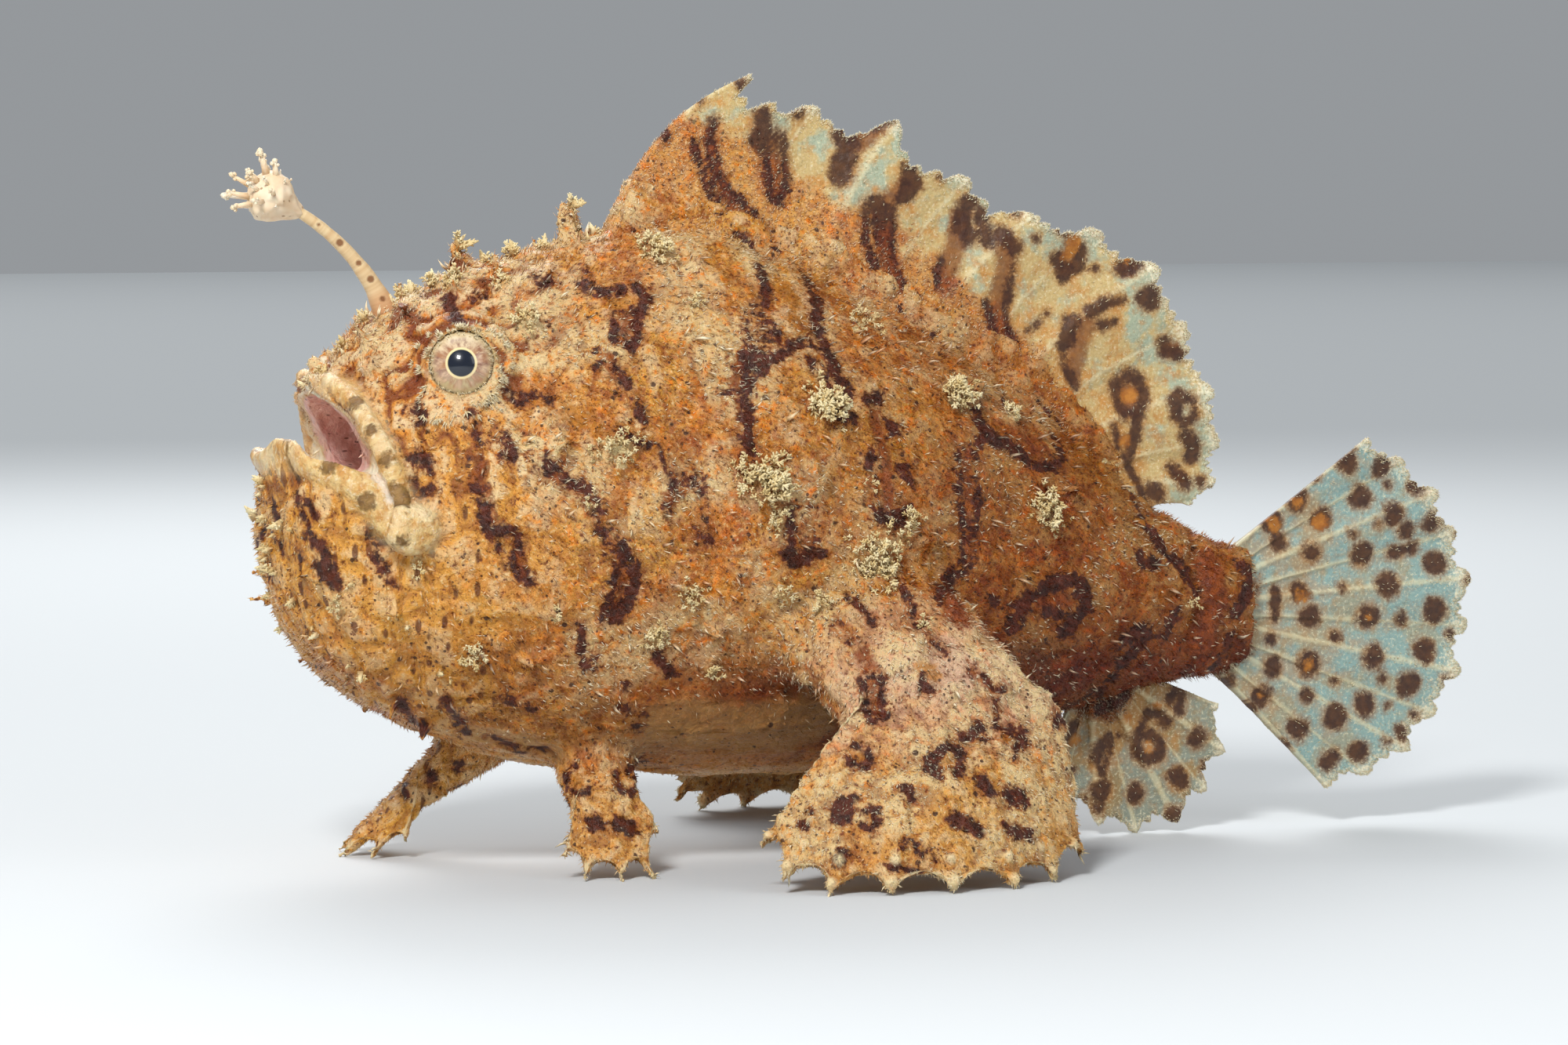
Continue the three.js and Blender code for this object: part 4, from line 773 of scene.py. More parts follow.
    # knobs, lips, eye mounds and mouth
    colour = tint(tree, colour, "#E8D2A2", kept["point"], 0.25, 0.85, 0.85)
    lip = tint(tree, srgb("#DEBB7C"), "#C9944E", fleck, 0.42, 0.6)
    lip = tint(tree, lip, "#EBD7AC", patch, 0.45, 0.62, 0.7)
    lip = tint(tree, lip, "#F4E6C6", speck, 0.55, 0.66, 0.55)
    lip = tint(tree, lip, "#A87440", speck, 0.42, 0.34, 0.6)
    colour = tint(tree, colour, lip, kept["lip"], 1.3, -0.4)
    rough = stray(tree, stray(tree, -0.05, speck, 0.3), fleck, 0.35)
    colour = pigment(tree, colour, place, "saddle", ("#7C5A28", "#644520"), rough, 0.35, 0.92)
    colour = pigment(tree, colour, place, "saddle", ("#A07A44", "#8A6434"), rough, 0.3, 0.8, 0.5)
    # the rim's pale cream is partly the lip's own and partly painted light against the mouth's shade
    colour = pigment(tree, colour, place, "rim", ("#E0CDB4", "#E6D8C6"), rough, 0.35, 0.85)
    ring = tint(tree, srgb("#AE9560"), "#E6D8AC", speck, 0.4, 0.6)
    ring = tint(tree, ring, "#BB855E", fleck, 0.5, 0.6, 0.75)
    ring = tint(tree, ring, "#9A8A58", patch, 0.5, 0.4, 0.6)
    colour = tint(tree, colour, ring, stray(tree, kept["eye"], fleck, -1.1), 5.8, 4.2, 0.9)
    # the inner side of the lips is painted paler than its own cream, as painted light in the shaded mouth
    lit_inside_lip = tint(tree, srgb("#F6E8CC"), "#D6A868", fleck, 0.55, 0.62, 0.6)
    colour = tint(tree, colour, lit_inside_lip, kept["mouth"], -0.12, -0.7, 0.9)
    # the lining's pink is its own, made paler as painted light in the shaded mouth
    lining = tint(tree, srgb("#F2C9BE"), "#DDA598", fleck, 0.4, 0.6)
    streak_place = add(tree, "VectorMath", {0: place, 1: (0.8, 1.6, 2.2)}, operation="MULTIPLY").outputs[0]
    streak = add(tree, "TexVoronoi", {"Vector": streak_place, "Scale": 0.7}, feature="F1").outputs["Distance"]
    lining = tint(tree, lining, "#5E2A1E", streak, 0.24, 0.14, 0.8)
    colour = tint(tree, colour, lining, kept["mouth"], 0.0, 0.7)
    pits = add(tree, "MapRange", {"Value": pebble, "From Max": 0.8, "To Max": 0.6}).outputs[0]
    relief = add(tree, "Math", {0: speck, 1: pits}, operation="SUBTRACT").outputs[0]
    return colour, relief


# slimy living skin under a film of water, so it glistens on every lump and light spreads a little inside it
fish_skin, tree = new_material("wet fish skin")
colour, relief = flesh_colour(tree)
bump = add(tree, "Bump", {"Strength": 0.8, "Distance": 0.55 * MM, "Height": relief})
shader = add(
    tree,
    "BsdfPrincipled",
    {
        "Base Color": colour, "Roughness": 0.3, "IOR": 1.4, "Normal": bump.outputs[0],
        "Subsurface Weight": 0.15, "Subsurface Radius": (1.0, 0.4, 0.2), "Subsurface Scale": 0.8 * MM,
    },
)
add(tree, "OutputMaterial", {"Surface": shader.outputs[0]})
skin.data.materials.append(fish_skin)
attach(skin, "root")
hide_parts(*FLESH)


# Sail
# The second back fin is one soft web over a dozen rays. Its foot is as fleshy and orange as the back that it
# grows from, and the web turns pale and thin towards the points, where each ray ends in a small cream knob.
SAIL_DARK = [  # in the picture, as the marks of the skin are
    (0.5, [(90.8, 15.5), (90.3, 17.5), (91, 20), (91.5, 22.5), (92.5, 24.5), (94.5, 26), (96, 28), (97.5, 30),
           (98.5, 31.5)]),
    (0.45, [(88.5, 18.5), (89.3, 21), (90, 23.5), (91, 26), (92.5, 28), (93.5, 30), (95, 31.5)]),
    (1.1, [(96.8, 14.5), (97, 16.5), (96.6, 18)]), (0.45, [(97.2, 19), (97.7, 22), (98, 24.5), (99, 25.8)]),
    (0.5, [(99.5, 17), (100, 20), (100.2, 23.5), (99.5, 25.5)]), (1.3, [(107.5, 17), (108.3, 18.5)]),
    (1.4, [(108, 20), (107.3, 22.3)]), (0.9, [(111.8, 16), (113, 15)]), (0.7, [(94.4, 10.6)]),
    (0.5, [(89.2, 12.9)]), (0.7, [(84.6, 17.2)]), (0.6, [(101.6, 13.8), (101.8, 14.8)]),
    (1.1, [(115.5, 22), (116, 23.5), (115, 25)]), (1.2, [(111.5, 26), (112, 28.5), (112.5, 30)]),
    (0.45, [(110.2, 26), (110, 29), (110.5, 32.5), (111.5, 34.5)]),
    (0.5, [(113.5, 27), (113.2, 32), (114, 34.5), (115, 37), (116.5, 38.5), (117.2, 41)]),
    (0.5, [(114.5, 39.5), (116.5, 42), (118, 43)]), (1.2, [(123.5, 26), (122.8, 29), (123.5, 30)]),
    (0.9, [(125, 27.5), (125.8, 30.5)]), (0.4, [(120, 33), (119.5, 36)]), (1.1, [(127.5, 30), (129, 31.5)]),
    (0.5, [(129, 34), (128.5, 37), (127.8, 39.5), (128.5, 43), (130, 46.5), (131, 49), (133, 53),
           (134, 54.5)]),
    (0.5, [(125.5, 38.5), (126.2, 42), (127.5, 45), (129, 47.5), (130, 51)]), (0.9, [(135.3, 29.3)]),
    (1.0, [(134.8, 33), (136, 35), (137.3, 34), (137.8, 32)]),
    (0.7, [(138.8, 39.8), (140.5, 39), (142.5, 38.4)]), (0.5, [(140, 41.5), (142, 41)]),
    (0.9, [(136.5, 41), (135.8, 43.5)]), (0.5, [(135.2, 44), (135.5, 47), (136.8, 49)]),
    (1.4, [(146, 38), (146.3, 38.3)]), (1.0, [(143, 34.2), (144.5, 34)]),
    (0.7, [(148.5, 43.3), (149, 45), (150.5, 45.3)]), (0.8, [(142.4, 49.5), (142.8, 51.5), (143.4, 52.6)]),
    (0.8, [(142.5, 49), (144, 47.8), (145.7, 49), (145.8, 51), (144.8, 52.5)]),
    (0.6, [(145, 53), (144.6, 55), (144, 57), (143.6, 59)]), (0.5, [(142, 54.5), (142.2, 57)]),
    (0.5, [(143, 58), (144, 60), (145.2, 63), (146.3, 65)]),
    (0.6, [(149.6, 51.3), (150.5, 50.5), (152, 51), (152.2, 53), (150.8, 54), (149.8, 53), (149.6, 51.3)]),
    (0.9, [(151.3, 55.5), (152.3, 57), (152, 58.5)]), (0.9, [(149.8, 60), (150.8, 61.5)]),
    (0.5, [(153, 61.5)]), (0.8, [(146.5, 62.8), (147.5, 62.9)]), (0.35, [(132.3, 41.4)]),
    (0.3, [(131, 42.2)]), (0.25, [(133.5, 40)]), (0.35, [(131.7, 30.3)]), (0.35, [(139.9, 34.2)]),
    (0.5, [(129.4, 27.3)]), (0.6, [(119.9, 22.6)]),
]
SAIL_BROWN = [
    (0.9, [(90.3, 18), (91.3, 22), (93, 26), (95, 29.5)]), (0.9, [(98.3, 18.5), (99, 21.5), (99, 24)]),
    (1.3, [(112.5, 27), (112.5, 31), (113.5, 35), (115, 38.5), (116.5, 42)]),
    (1.4, [(122.5, 28), (122, 31), (121, 34), (120.5, 36.5)]),
    (1.3, [(128, 31), (128, 33), (127.2, 37), (127, 41), (128.5, 45), (130, 48.5)]),
    (1.2, [(136.3, 31), (136, 34)]), (1.4, [(138.3, 41.5), (137, 44.5), (136.5, 47.5)]),
    (1.3, [(143.8, 34)]), (1.5, [(144, 50), (143.8, 52)]), (0.8, [(143, 56)]),
    (1.5, [(109.3, 18.2), (111.5, 16.3)]), (1.2, [(115, 23.5), (113, 25.5)]), (1.2, [(149.5, 44.3)]),
    (1.0, [(150.4, 60.8)]),
]
SAIL_AMBER = [
    (1.2, [(144, 50.6)]), (0.9, [(136.8, 30.5), (136.3, 32.3)]), (0.6, [(143.5, 32.9)]),
    (0.7, [(143, 56.2)]),
]


UNMARKED = {  # the marks that only the body has
    **dict.fromkeys(("pale", "lip", "saddle", "rim", "eye", "tuft"), FAR_OFF),
    "mouth": 0.0, "point": 0.0, "ridge": 0.0, "frost_and_painted_light": 0.25,
}


def fin_piece(name, rays, form, dark, brown, amber):
    """One closed sheet over a row of rays, raised along each ray."""
    piece, across, height, (places, half, up, from_ray) = web_sheet(name, rays, form)
    half = half * (1.0 + 0.12 * lumps(places, 1.1)) + 0.07 * lumps(places, 0.6)
    border = np.interp(across / (len(rays) - 1), np.linspace(0.0, 1.0, len(form["flesh"])), form["flesh"])
    border = border + 0.07 * lumps(places, 4.0) + 0.04 * lumps(places, 1.5)
    flesh = 1.0 - rise(up, border - 0.16, border + 0.12)
    move_corners(piece.data, to_scene(places))
    thicken(piece, half)
    bpy.ops.object.shade_smooth()
    piece.vertex_groups.clear()
    sides = len(piece.data.vertices) // len(places)
    flat_places = np.tile(places, (sides, 1)) * (1.0, 0.0, 1.0)
    marks = [
        [(width, np.array([on_middle_plane(*spot) for spot in line])) for width, line in kind]
        for kind in (dark, brown, amber)
    ]
    unmarked = {name: np.full(len(flat_places), value) for name, value in UNMARKED.items()}
    give(
        piece.data, place=flat_places, up=np.tile(up, sides), from_ray=np.tile(from_ray, sides),
        edge=np.tile(height, sides), flesh=np.tile(flesh, sides), **unmarked, **zones(flat_places),
        dark=gap_to(flat_places, marks[0]), brown=gap_to(flat_places, marks[1]),
        amber=gap_to(flat_places, marks[2]),
    )
    return piece


# Living fin web over soft rays is wet, and so thin that light spreads inside it. The body's skin runs up its
# foot and gives way to a cream web, stained amber and washed with a pale sea green, with soft brown bands.
# That green is partly the web's own tint and partly painted light shining through it.
def fin_web_material(name, cream, backlight_green, backlight_wash, stained):
    """The backlight wash is how green the web is at its foot and its edge, partly its own tint and partly
    painted light, and stained is how strong its amber is.
    """
    material, tree = new_material(name)
    meat, relief = flesh_colour(tree)
    place = add(tree, "Attribute", attribute_name="place").outputs["Vector"]
    up, from_ray, flesh = (
        add(tree, "Attribute", attribute_name=kept).outputs["Fac"] for kept in ("up", "from_ray", "flesh")
    )
    cloud, stain, speck = (  # 6, 3 and 0.5 mm across
        add(
            tree, "TexNoise", {"Vector": place, "Scale": scale, "Detail": detail, "Roughness": rough}
        ).outputs["Fac"]
        for scale, detail, rough in ((0.17, 4.0, 0.6), (0.36, 5.0, 0.65), (2.2, 4.0, 0.7))
    )
    # the green, partly painted light shining through the web, grows from the foot towards the edge
    span = {"Value": up, "From Min": 0.2, "From Max": 0.9, "To Min": backlight_wash[0], "To Max": backlight_wash[1]}
    backlit = add(tree, "MapRange", span).outputs[0]
    web = tint(tree, srgb(cream), backlight_green, stray(tree, backlit, cloud, 0.5, 0.4, 0.62), 0.3, 0.7)
    web = tint(tree, web, "#BE8034", stray(tree, stain, up, -0.085, 0.3, 0.95), 0.485, 0.645, stained)
    web = tint(tree, web, "#E3D9B6", speck, 0.53, 0.68, 0.75)
    web = tint(tree, web, "#8A6434", speck, 0.42, 0.32, 0.5)
    web = tint(tree, web, "#E2D6AC", stray(tree, from_ray, stain, 0.35), 0.5, 0.1, 0.5)
    web = tint(tree, web, "#EEE4C6", stray(tree, up, speck, 0.06), 0.9, 0.98, 0.85)
    wander = stray(tree, stray(tree, 0.0, stain, 0.45, 0.35, 0.65), speck, 0.3)
    web = pigment(tree, web, place, "dark", ("#A8702E", "#8F5A26"), wander, 0.6, 0.65, -0.6)
    web = pigment(tree, web, place, "brown", ("#8A5220", "#74401A"), wander, 0.7, 0.85)
    web = pigment(tree, web, place, "dark", ("#4E2A14", "#38190F"), wander, 0.42, 0.92, -0.15)
    web = pigment(tree, web, place, "amber", ("#C07C2C", "#A8641E"), wander, 0.45, 0.9)
    colour = tint(tree, web, meat, stray(tree, flesh, stain, 0.25), 0.3, 0.75)
    bump = add(tree, "Bump", {"Strength": 0.7, "Distance": 0.3 * MM, "Height": relief})
    shader = add(
        tree,
        "BsdfPrincipled",
        {
            "Base Color": colour, "Roughness": 0.42, "IOR": 1.4, "Normal": bump.outputs[0],
            "Subsurface Weight": 0.2, "Subsurface Radius": (1.0, 0.6, 0.35), "Subsurface Scale": 1.0 * MM,
        },
    )
    add(tree, "OutputMaterial", {"Surface": shader.outputs[0]})
    return material


sail = fin_piece("sail", sail_rays(), SAIL_FORM, SAIL_DARK, SAIL_BROWN, SAIL_AMBER)
sail.data.materials.append(fin_web_material("wet sail web", "#C6AC74", "#A7B096", (-0.1, 0.62), 0.8))
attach(sail, "root")
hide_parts("dorsal_sail")


# Tail fin and anal fin
# Fans of forked rays in a thin, pale green web, with rows of round brown spots and a fringe of white points.
# The green, greyest on the tail, is partly painted light shining through the web.
TAIL_PIVOT = (52.0, 29.5)
TAIL_ANGLES = (36.0, -45.0, 11)  # from the top ray to the bottom one, and how many
TAIL_FORM = {
    "web": 0.3, "ridge": 0.7, "ridge_width": 0.42, "root": 1.7, "root_share": 0.35, "notches": (0.05,),
    "billow": 0.35, "teeth": 4, "tooth": 0.018, "knob": 0.2, "columns": 20, "rows": 56, "sunk": 0.1,
    "flesh": (0.14, 0.06, 0.12),
}
TAIL_DARK = [
    (1.3, [(171.6, 59)]), (0.7, [(171.8, 57)]), (0.9, [(167.4, 60.2)]), (1.4, [(165.3, 63.7)]),
    (1.3, [(162, 66.5)]), (1.2, [(162.8, 69)]), (1.4, [(173.5, 63.5)]), (1.3, [(176, 59.7)]),
    (1.0, [(180.4, 62.4)]), (1.4, [(168.4, 66)]), (1.2, [(167, 70.5)]), (1.3, [(177.5, 65.5)]),
    (1.1, [(179, 67.7)]), (1.4, [(173.6, 70.8)]), (1.2, [(182.5, 66.5)]), (1.5, [(183, 72)]),
    (0.8, [(177.5, 70.6), (180, 69.8)]), (1.5, [(176.8, 74.5)]), (1.2, [(165.6, 75.6)]),
    (1.4, [(166.8, 78.5)]), (1.5, [(174.4, 78.5)]), (0.7, [(178.5, 79)]), (1.6, [(182.8, 77.8)]),
    (0.5, [(162.5, 75.5), (162.2, 79)]), (0.6, [(161.8, 81.3)]), (0.7, [(170.2, 81.2)]),
    (1.6, [(166.8, 84.8)]), (1.2, [(162.2, 85)]), (1.4, [(174.8, 83.8)]), (1.5, [(181.5, 83)]),
    (1.5, [(179.5, 87.2)]), (1.5, [(174, 90)]), (1.6, [(170, 91.5)]), (1.3, [(160.8, 88.8)]),
    (0.9, [(159, 90.5)]), (0.7, [(166.4, 88.8)]), (1.4, [(165.5, 93)]), (0.9, [(163.2, 95.2)]),
    (1.2, [(173.2, 95.8)]), (0.8, [(178.5, 93.5)]), (0.9, [(169, 97.5), (170, 96.5)]),
    (0.5, [(177.2, 61.7)]), (0.4, [(172.2, 68)]), (0.5, [(175.5, 66.7)]), (0.5, [(156.5, 86.8)]),
    (0.4, [(185.9, 68)]), (0.4, [(187, 74)]), (0.5, [(184.8, 81)]), (0.4, [(180.5, 91.2)]),
    (0.4, [(184, 86.5)]), (0.3, [(177, 90)]), (0.4, [(170.3, 86.8)]), (0.35, [(171, 75)]),
    (0.45, [(176.2, 86.5)]), (0.4, [(176.5, 94.5)]),
]
TAIL_AMBER = [
    (0.75, [(165.3, 63.9)]), (0.8, [(162.3, 66.8)]), (1.0, [(168.3, 66.5)]), (0.85, [(165.9, 76.3)]),
    (0.45, [(174.3, 78.5)]), (0.85, [(166.7, 85)]), (0.4, [(160.8, 88.8)]),
]
ANAL_PIVOT = (42.0, 24.0)
ANAL_ANGLES = (-112.0, -22.0, 8)
ANAL_FORM = {
    "web": 0.32, "ridge": 0.7, "ridge_width": 0.5, "root": 1.6, "root_share": 0.6, "notches": (0.08,),
    "billow": 0.35, "teeth": 4, "tooth": 0.02, "knob": 0.2, "columns": 18, "rows": 44, "sunk": 0.1,
    "flesh": (0.35, 0.3, 0.25),
}
ANAL_DARK = [
    (0.6, [(144.8, 94), (145, 96), (146.2, 97), (147.8, 96.3), (147.9, 94.6), (146.5, 93.7), (144.8, 94)]),
    (0.6, [(145, 93.5), (145.5, 92), (146.3, 91)]), (0.7, [(147.5, 91), (148.5, 92)]),
    (0.6, [(149, 89.5), (149.8, 87.6), (150.5, 88.6), (150, 90.4)]), (1.1, [(152.6, 94)]),
    (1.4, [(150, 99.3)]), (0.6, [(153.8, 98)]), (1.2, [(144.8, 101.2)]), (1.0, [(149.6, 103.9)]),
    (1.2, [(140.4, 100.8)]), (0.6, [(139.8, 103)]), (0.6, [(147.2, 105.3)]), (0.5, [(153, 102.2)]),
    (0.5, [(141.3, 94), (140, 95.5), (139.5, 97), (140.3, 98.3), (141.2, 96), (141.5, 94.2)]),
    (0.7, [(136.2, 98.4)]), (0.3, [(142.6, 93.6)]), (0.3, [(138.2, 101.8)]),
    (0.8, [(139.8, 90.4), (143, 88.6)]), (0.5, [(135.5, 94.5), (136.8, 92.5)]),
]
ANAL_AMBER = [(0.5, [(146.2, 95.2)]), (0.4, [(147.4, 89.8)]), (0.8, [(137, 94.5)]), (0.7, [(143.5, 91.5)])]
FIN_SWAY = 0.5


def fan_rays(pivot, angles, near, reach):
    """Rays that spread from a point. Their length follows from their angle."""
    first, last, count = angles
    rays = []
    for i in range(count):
        degrees = first + (last - first) * i / (count - 1)
        way = np.array([math.cos(math.radians(degrees)), 0.0, math.sin(math.radians(degrees))])
        side = np.array([0.0, FIN_SWAY * (1 if i % 2 else -1), 0.0])
        root = np.array([pivot[0], 0.0, pivot[1]])
        middle = (near + reach(degrees)) / 2
        rays.append([root + near * way, root + middle * way + 0.5 * side, root + reach(degrees) * way + side])
    return np.array(rays)


tail_rays = fan_rays(TAIL_PIVOT, TAIL_ANGLES, 9.5, lambda degrees: 46.0 - 0.006 * (degrees + 2) ** 2)
tail = fin_piece("tail_fan", tail_rays, TAIL_FORM, TAIL_DARK, [], TAIL_AMBER)
# the tail's web is grey-green all over: painted light shining through it, over its own pale tone
tail.data.materials.append(fin_web_material("wet tail web", "#9C9E88", "#8CA8A2", (0.5, 0.9), 0.4))
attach(tail, "root")
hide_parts("tail_fin")

anal_rays = fan_rays(ANAL_PIVOT, ANAL_ANGLES, 2.5, lambda degrees: 26.4 - 0.0045 * (degrees + 58) ** 2)
anal = fin_piece("anal_fan", anal_rays, ANAL_FORM, ANAL_DARK, [], ANAL_AMBER)
anal.data.materials.append(fin_web_material("wet anal web", "#98835C", "#8C9282", (0.1, 0.8), 0.55))
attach(anal, "root")
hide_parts("anal_fin")


# Coat
# The skin is covered with tiny forked spines that give it a frosted nap. They lean back along the flanks,
# stand out on the chin, and are smallest on the face and feet. One of each sort is modelled, then planted by
# the thousand. Real ones are finer and closer, and are drawn as coarse as they need to show.
SPINE_SIDES = 3
SPINE_WIDTH = 0.09  # its radius at the root, as a share of its length
COAT_ROOTS = 84000
COAT_LENGTH = {
    "flank": 0.92, "crown": 1.0, "chin": 0.65, "arm": 0.9, "small": 0.62, "belly": 0.4, "fin": 0.55
}
COAT_RADIUS = 0.05
FLECKS = 0.5  # share of the roots in cream patches with a broader cream spine, which shows as a pale fleck
FLECK_RADIUS = 0.07
PAPILLAE = 0.02  # share of the roots that carry a stout cone instead
COAT_TURN = 0.75  # how far a spine strays from the lie of the coat, in radians
PATCH = 0.003  # of the colour map, for each tuft
random = np.random.default_rng(21)


def set_branch(height, lean, turn):
    """Leans the new branch out of the stalk, turns it round and lifts it to its height."""
    bpy.ops.transform.rotate(value=lean, orient_axis="Y", center_override=(0.0, 0.0, 0.0))
    bpy.ops.transform.rotate(value=turn, orient_axis="Z", center_override=(0.0, 0.0, 0.0))
    bpy.ops.transform.translate(value=(0.0, 0.0, height))
    bpy.ops.object.mode_set(mode="OBJECT")


def spine_seed(name, branches):
    """Spines from one root, each a three-sided bent cone. A branch is its height, length, lean and turn."""
    made = []
    for height, length, lean, turn in branches:
        bpy.ops.object.select_all(action="DESELECT")
        bpy.ops.mesh.primitive_cone_add(
            vertices=SPINE_SIDES, radius1=SPINE_WIDTH, radius2=0.75 * SPINE_WIDTH, depth=0.5,
            location=(0.0, 0.0, 0.25),
        )
        spine = start_piece(name)
        bpy.ops.object.mode_set(mode="EDIT")
        bpy.ops.mesh.select_all(action="DESELECT")
        bpy.ops.object.mode_set(mode="OBJECT")
        for corner in spine.data.vertices:
            corner.select = corner.co.z > 0.4
        for face in spine.data.polygons:
            face.select = face.center.z > 0.4 and abs(face.normal.z) > 0.9
        bpy.ops.object.mode_set(mode="EDIT")
        bpy.ops.mesh.extrude_region_move(TRANSFORM_OT_translate={"value": (0.14, 0.0, 0.5)})
        bpy.ops.transform.resize(value=(0.0, 0.0, 0.0))
        bpy.ops.mesh.select_all(action="SELECT")
        bpy.ops.mesh.remove_doubles(threshold=0.001)
        bpy.ops.mesh.normals_make_consistent(inside=False)
        bpy.ops.mesh.quads_convert_to_tris()
        bpy.ops.transform.resize(value=(1.0, 1.0, length), center_override=(0.0, 0.0, 0.0))
        set_branch(height, lean, turn)
        made.append(spine)
    return seed_of(made)


def seed_of(made):
    """The joined corners and triangles of a seed, which is then cleared away."""
    bpy.ops.object.select_all(action="DESELECT")
    for piece in made:
        piece.select_set(True)
    bpy.context.view_layer.objects.active = made[0]
    if len(made) > 1:
        bpy.ops.object.join()
    mesh = made[0].data
    seed = corners_of(mesh), triangles_of(mesh)
    bpy.data.objects.remove(made[0])
    return seed


def unit(ways):
    """The same directions, each 1 long."""
    return ways / np.maximum(np.linalg.norm(ways, axis=-1, keepdims=True), 1e-9)


def plant(seed, roots, ways, leans, lengths, widths):
    """Copies of a seed: its height follows ways, its bend turns to leans, widths scale it across."""
    corners, faces = seed
    along = unit(ways)
    across = unit(leans - np.sum(leans * along, axis=1)[:, None] * along)
    through = np.cross(along, across)
    wide = lengths * widths
    places = roots[:, None] + lengths[:, None, None] * corners[None, :, 2:3] * along[:, None]
    flat = corners[None, :, 0:1] * across[:, None] + corners[None, :, 1:2] * through[:, None]
    places = places + wide[:, None, None] * flat
    numbers = faces[None] + len(corners) * np.arange(len(roots))[:, None, None]
    return places.reshape(-1, 3), numbers.reshape(-1, 3)


def piece_from(name, places, faces):
    """A smooth-shaded object from joined corners and triangles."""
    mesh = bpy.data.meshes.new(name)
    mesh.vertices.add(len(places))
    mesh.loops.add(3 * len(faces))
    mesh.polygons.add(len(faces))
    mesh.vertices.foreach_set("co", np.ascontiguousarray(to_scene(places), dtype=np.float32).ravel())
    mesh.loops.foreach_set("vertex_index", faces.ravel().astype(np.int32))
    mesh.polygons.foreach_set("loop_start", np.arange(0, 3 * len(faces), 3, dtype=np.int32))
    mesh.polygons.foreach_set("use_smooth", np.ones(len(faces), dtype=bool))
    mesh.update(calc_edges=True)
    piece = bpy.data.objects.new(name, mesh)
    bpy.context.collection.objects.link(piece)
    return piece


def scatter(corners, faces, weights, count):
    """Evenly spread roots: for each the triangle that it stands on and its share of the three corners."""
    a, b, c = (corners[faces[:, k]] for k in range(3))
    area = 0.5 * np.linalg.norm(np.cross(b - a, c - a), axis=1) * weights
    steps = (np.arange(count) + random.random(count)) / count
    chosen = np.minimum(np.searchsorted(np.cumsum(area) / area.sum(), steps), len(faces) - 1)
    r, s = np.sqrt(random.random(count)), random.random(count)
    shares = np.column_stack([1 - r, r * (1 - s), r * s])
    return chosen, shares


def carried(values, faces, chosen, shares):
    """A value at the roots, from those at the corners that they stand between."""
    taken = np.asarray(values, float)[faces[chosen]]
    return np.einsum("ij,ij...->i...", shares, taken)


def combed(lie, ways, turn):
    """The lie of the coat laid flat on the skin, and turned by that many radians."""
    lie = unit(lie - np.sum(lie * ways, axis=1)[:, None] * ways)
    return lie * np.cos(turn)[:, None] + np.cross(ways, lie) * np.sin(turn)[:, None]


def raised(ways, lie, stand):
    """The way a spine grows that stands up from its lie by that many radians."""
    return ways * np.sin(stand)[:, None] + lie * np.cos(stand)[:, None]


seeds = [
    spine_seed("spine", [(0.0, 1.0, 0.0, 0.0)]),
    spine_seed("forked spine", [(0.0, 1.0, 0.1, 0.0), (0.25, 0.6, 0.75, 2.0)]),
    spine_seed("spine tuft", [(0.0, 1.0, 0.0, 0.0), (0.2, 0.65, 0.7, 1.2), (0.3, 0.55, 0.7, -1.9)]),
]
SEED_SHARES = (0.78, 0.17, 0.05)

skin_corners = to_animal(corners_of(skin.data))
skin_ways = outward(skin.data)
skin_faces = triangles_of(skin.data)
belly = rise(-skin_corners[:, 2], -22.0, -13.0) * (1 - small) * ~leg
thin = (1.0 - bare) * (1.0 - 0.75 * rise(-pale, -1.5, 1.0)) * (1.0 - 0.4 * belly) * (1.0 + 0.5 * small)
thin *= 1.0 - 0.45 * rise(-skin_corners[:, 0], 40.0, 48.0) * rise(-skin_corners[:, 2], -58.0, -50.0)
chosen, shares = scatter(skin_corners, skin_faces, thin[skin_faces].mean(axis=1), COAT_ROOTS)


def at_roots(values):
    return carried(values, skin_faces, chosen, shares)


roots, ways = at_roots(skin_corners), unit(at_roots(skin_ways))
root_values = {name: at_roots(values) for name, values in skin_values.items()}
x, y, z = roots.T
side = np.where(y > 0, 1.0, -1.0)
root_small, root_belly, root_fin = at_roots(small), at_roots(belly), at_roots(on_fin)
root_part = part[skin_faces[chosen, 0]]
on_arm, on_hand, on_leg = (belongs(root_part, word) for word in ("arm", "hand", "leg"))

# how long the spines are: shorter on the small parts and belly, and round the eyes and lips
crown = rise(-x, 20.0, 32.0) * rise(z, 62.0, 68.0) * ~on_arm
chin = rise(-x, 48.0, 56.0) * rise(-z, -50.0, -42.0) * ~on_leg
length = COAT_LENGTH["flank"] + (COAT_LENGTH["crown"] - COAT_LENGTH["flank"]) * crown
length += (COAT_LENGTH["chin"] - length) * chin
length += (COAT_LENGTH["belly"] - length) * root_belly
length = np.where(on_arm, COAT_LENGTH["arm"], length)
length += (COAT_LENGTH["small"] - length) * root_small
length += (COAT_LENGTH["fin"] - length) * root_fin
root_eye = at_roots(eye_gap)
length *= 0.45 + 0.55 * rise(root_eye, 6.0, 13.0)
length *= 0.6 + 0.4 * rise(at_roots(lip_gap), 0.5, 5.0)
length *= random.uniform(0.55, 1.25, len(roots)) * (1.0 + 0.25 * lumps(roots, 2.3))

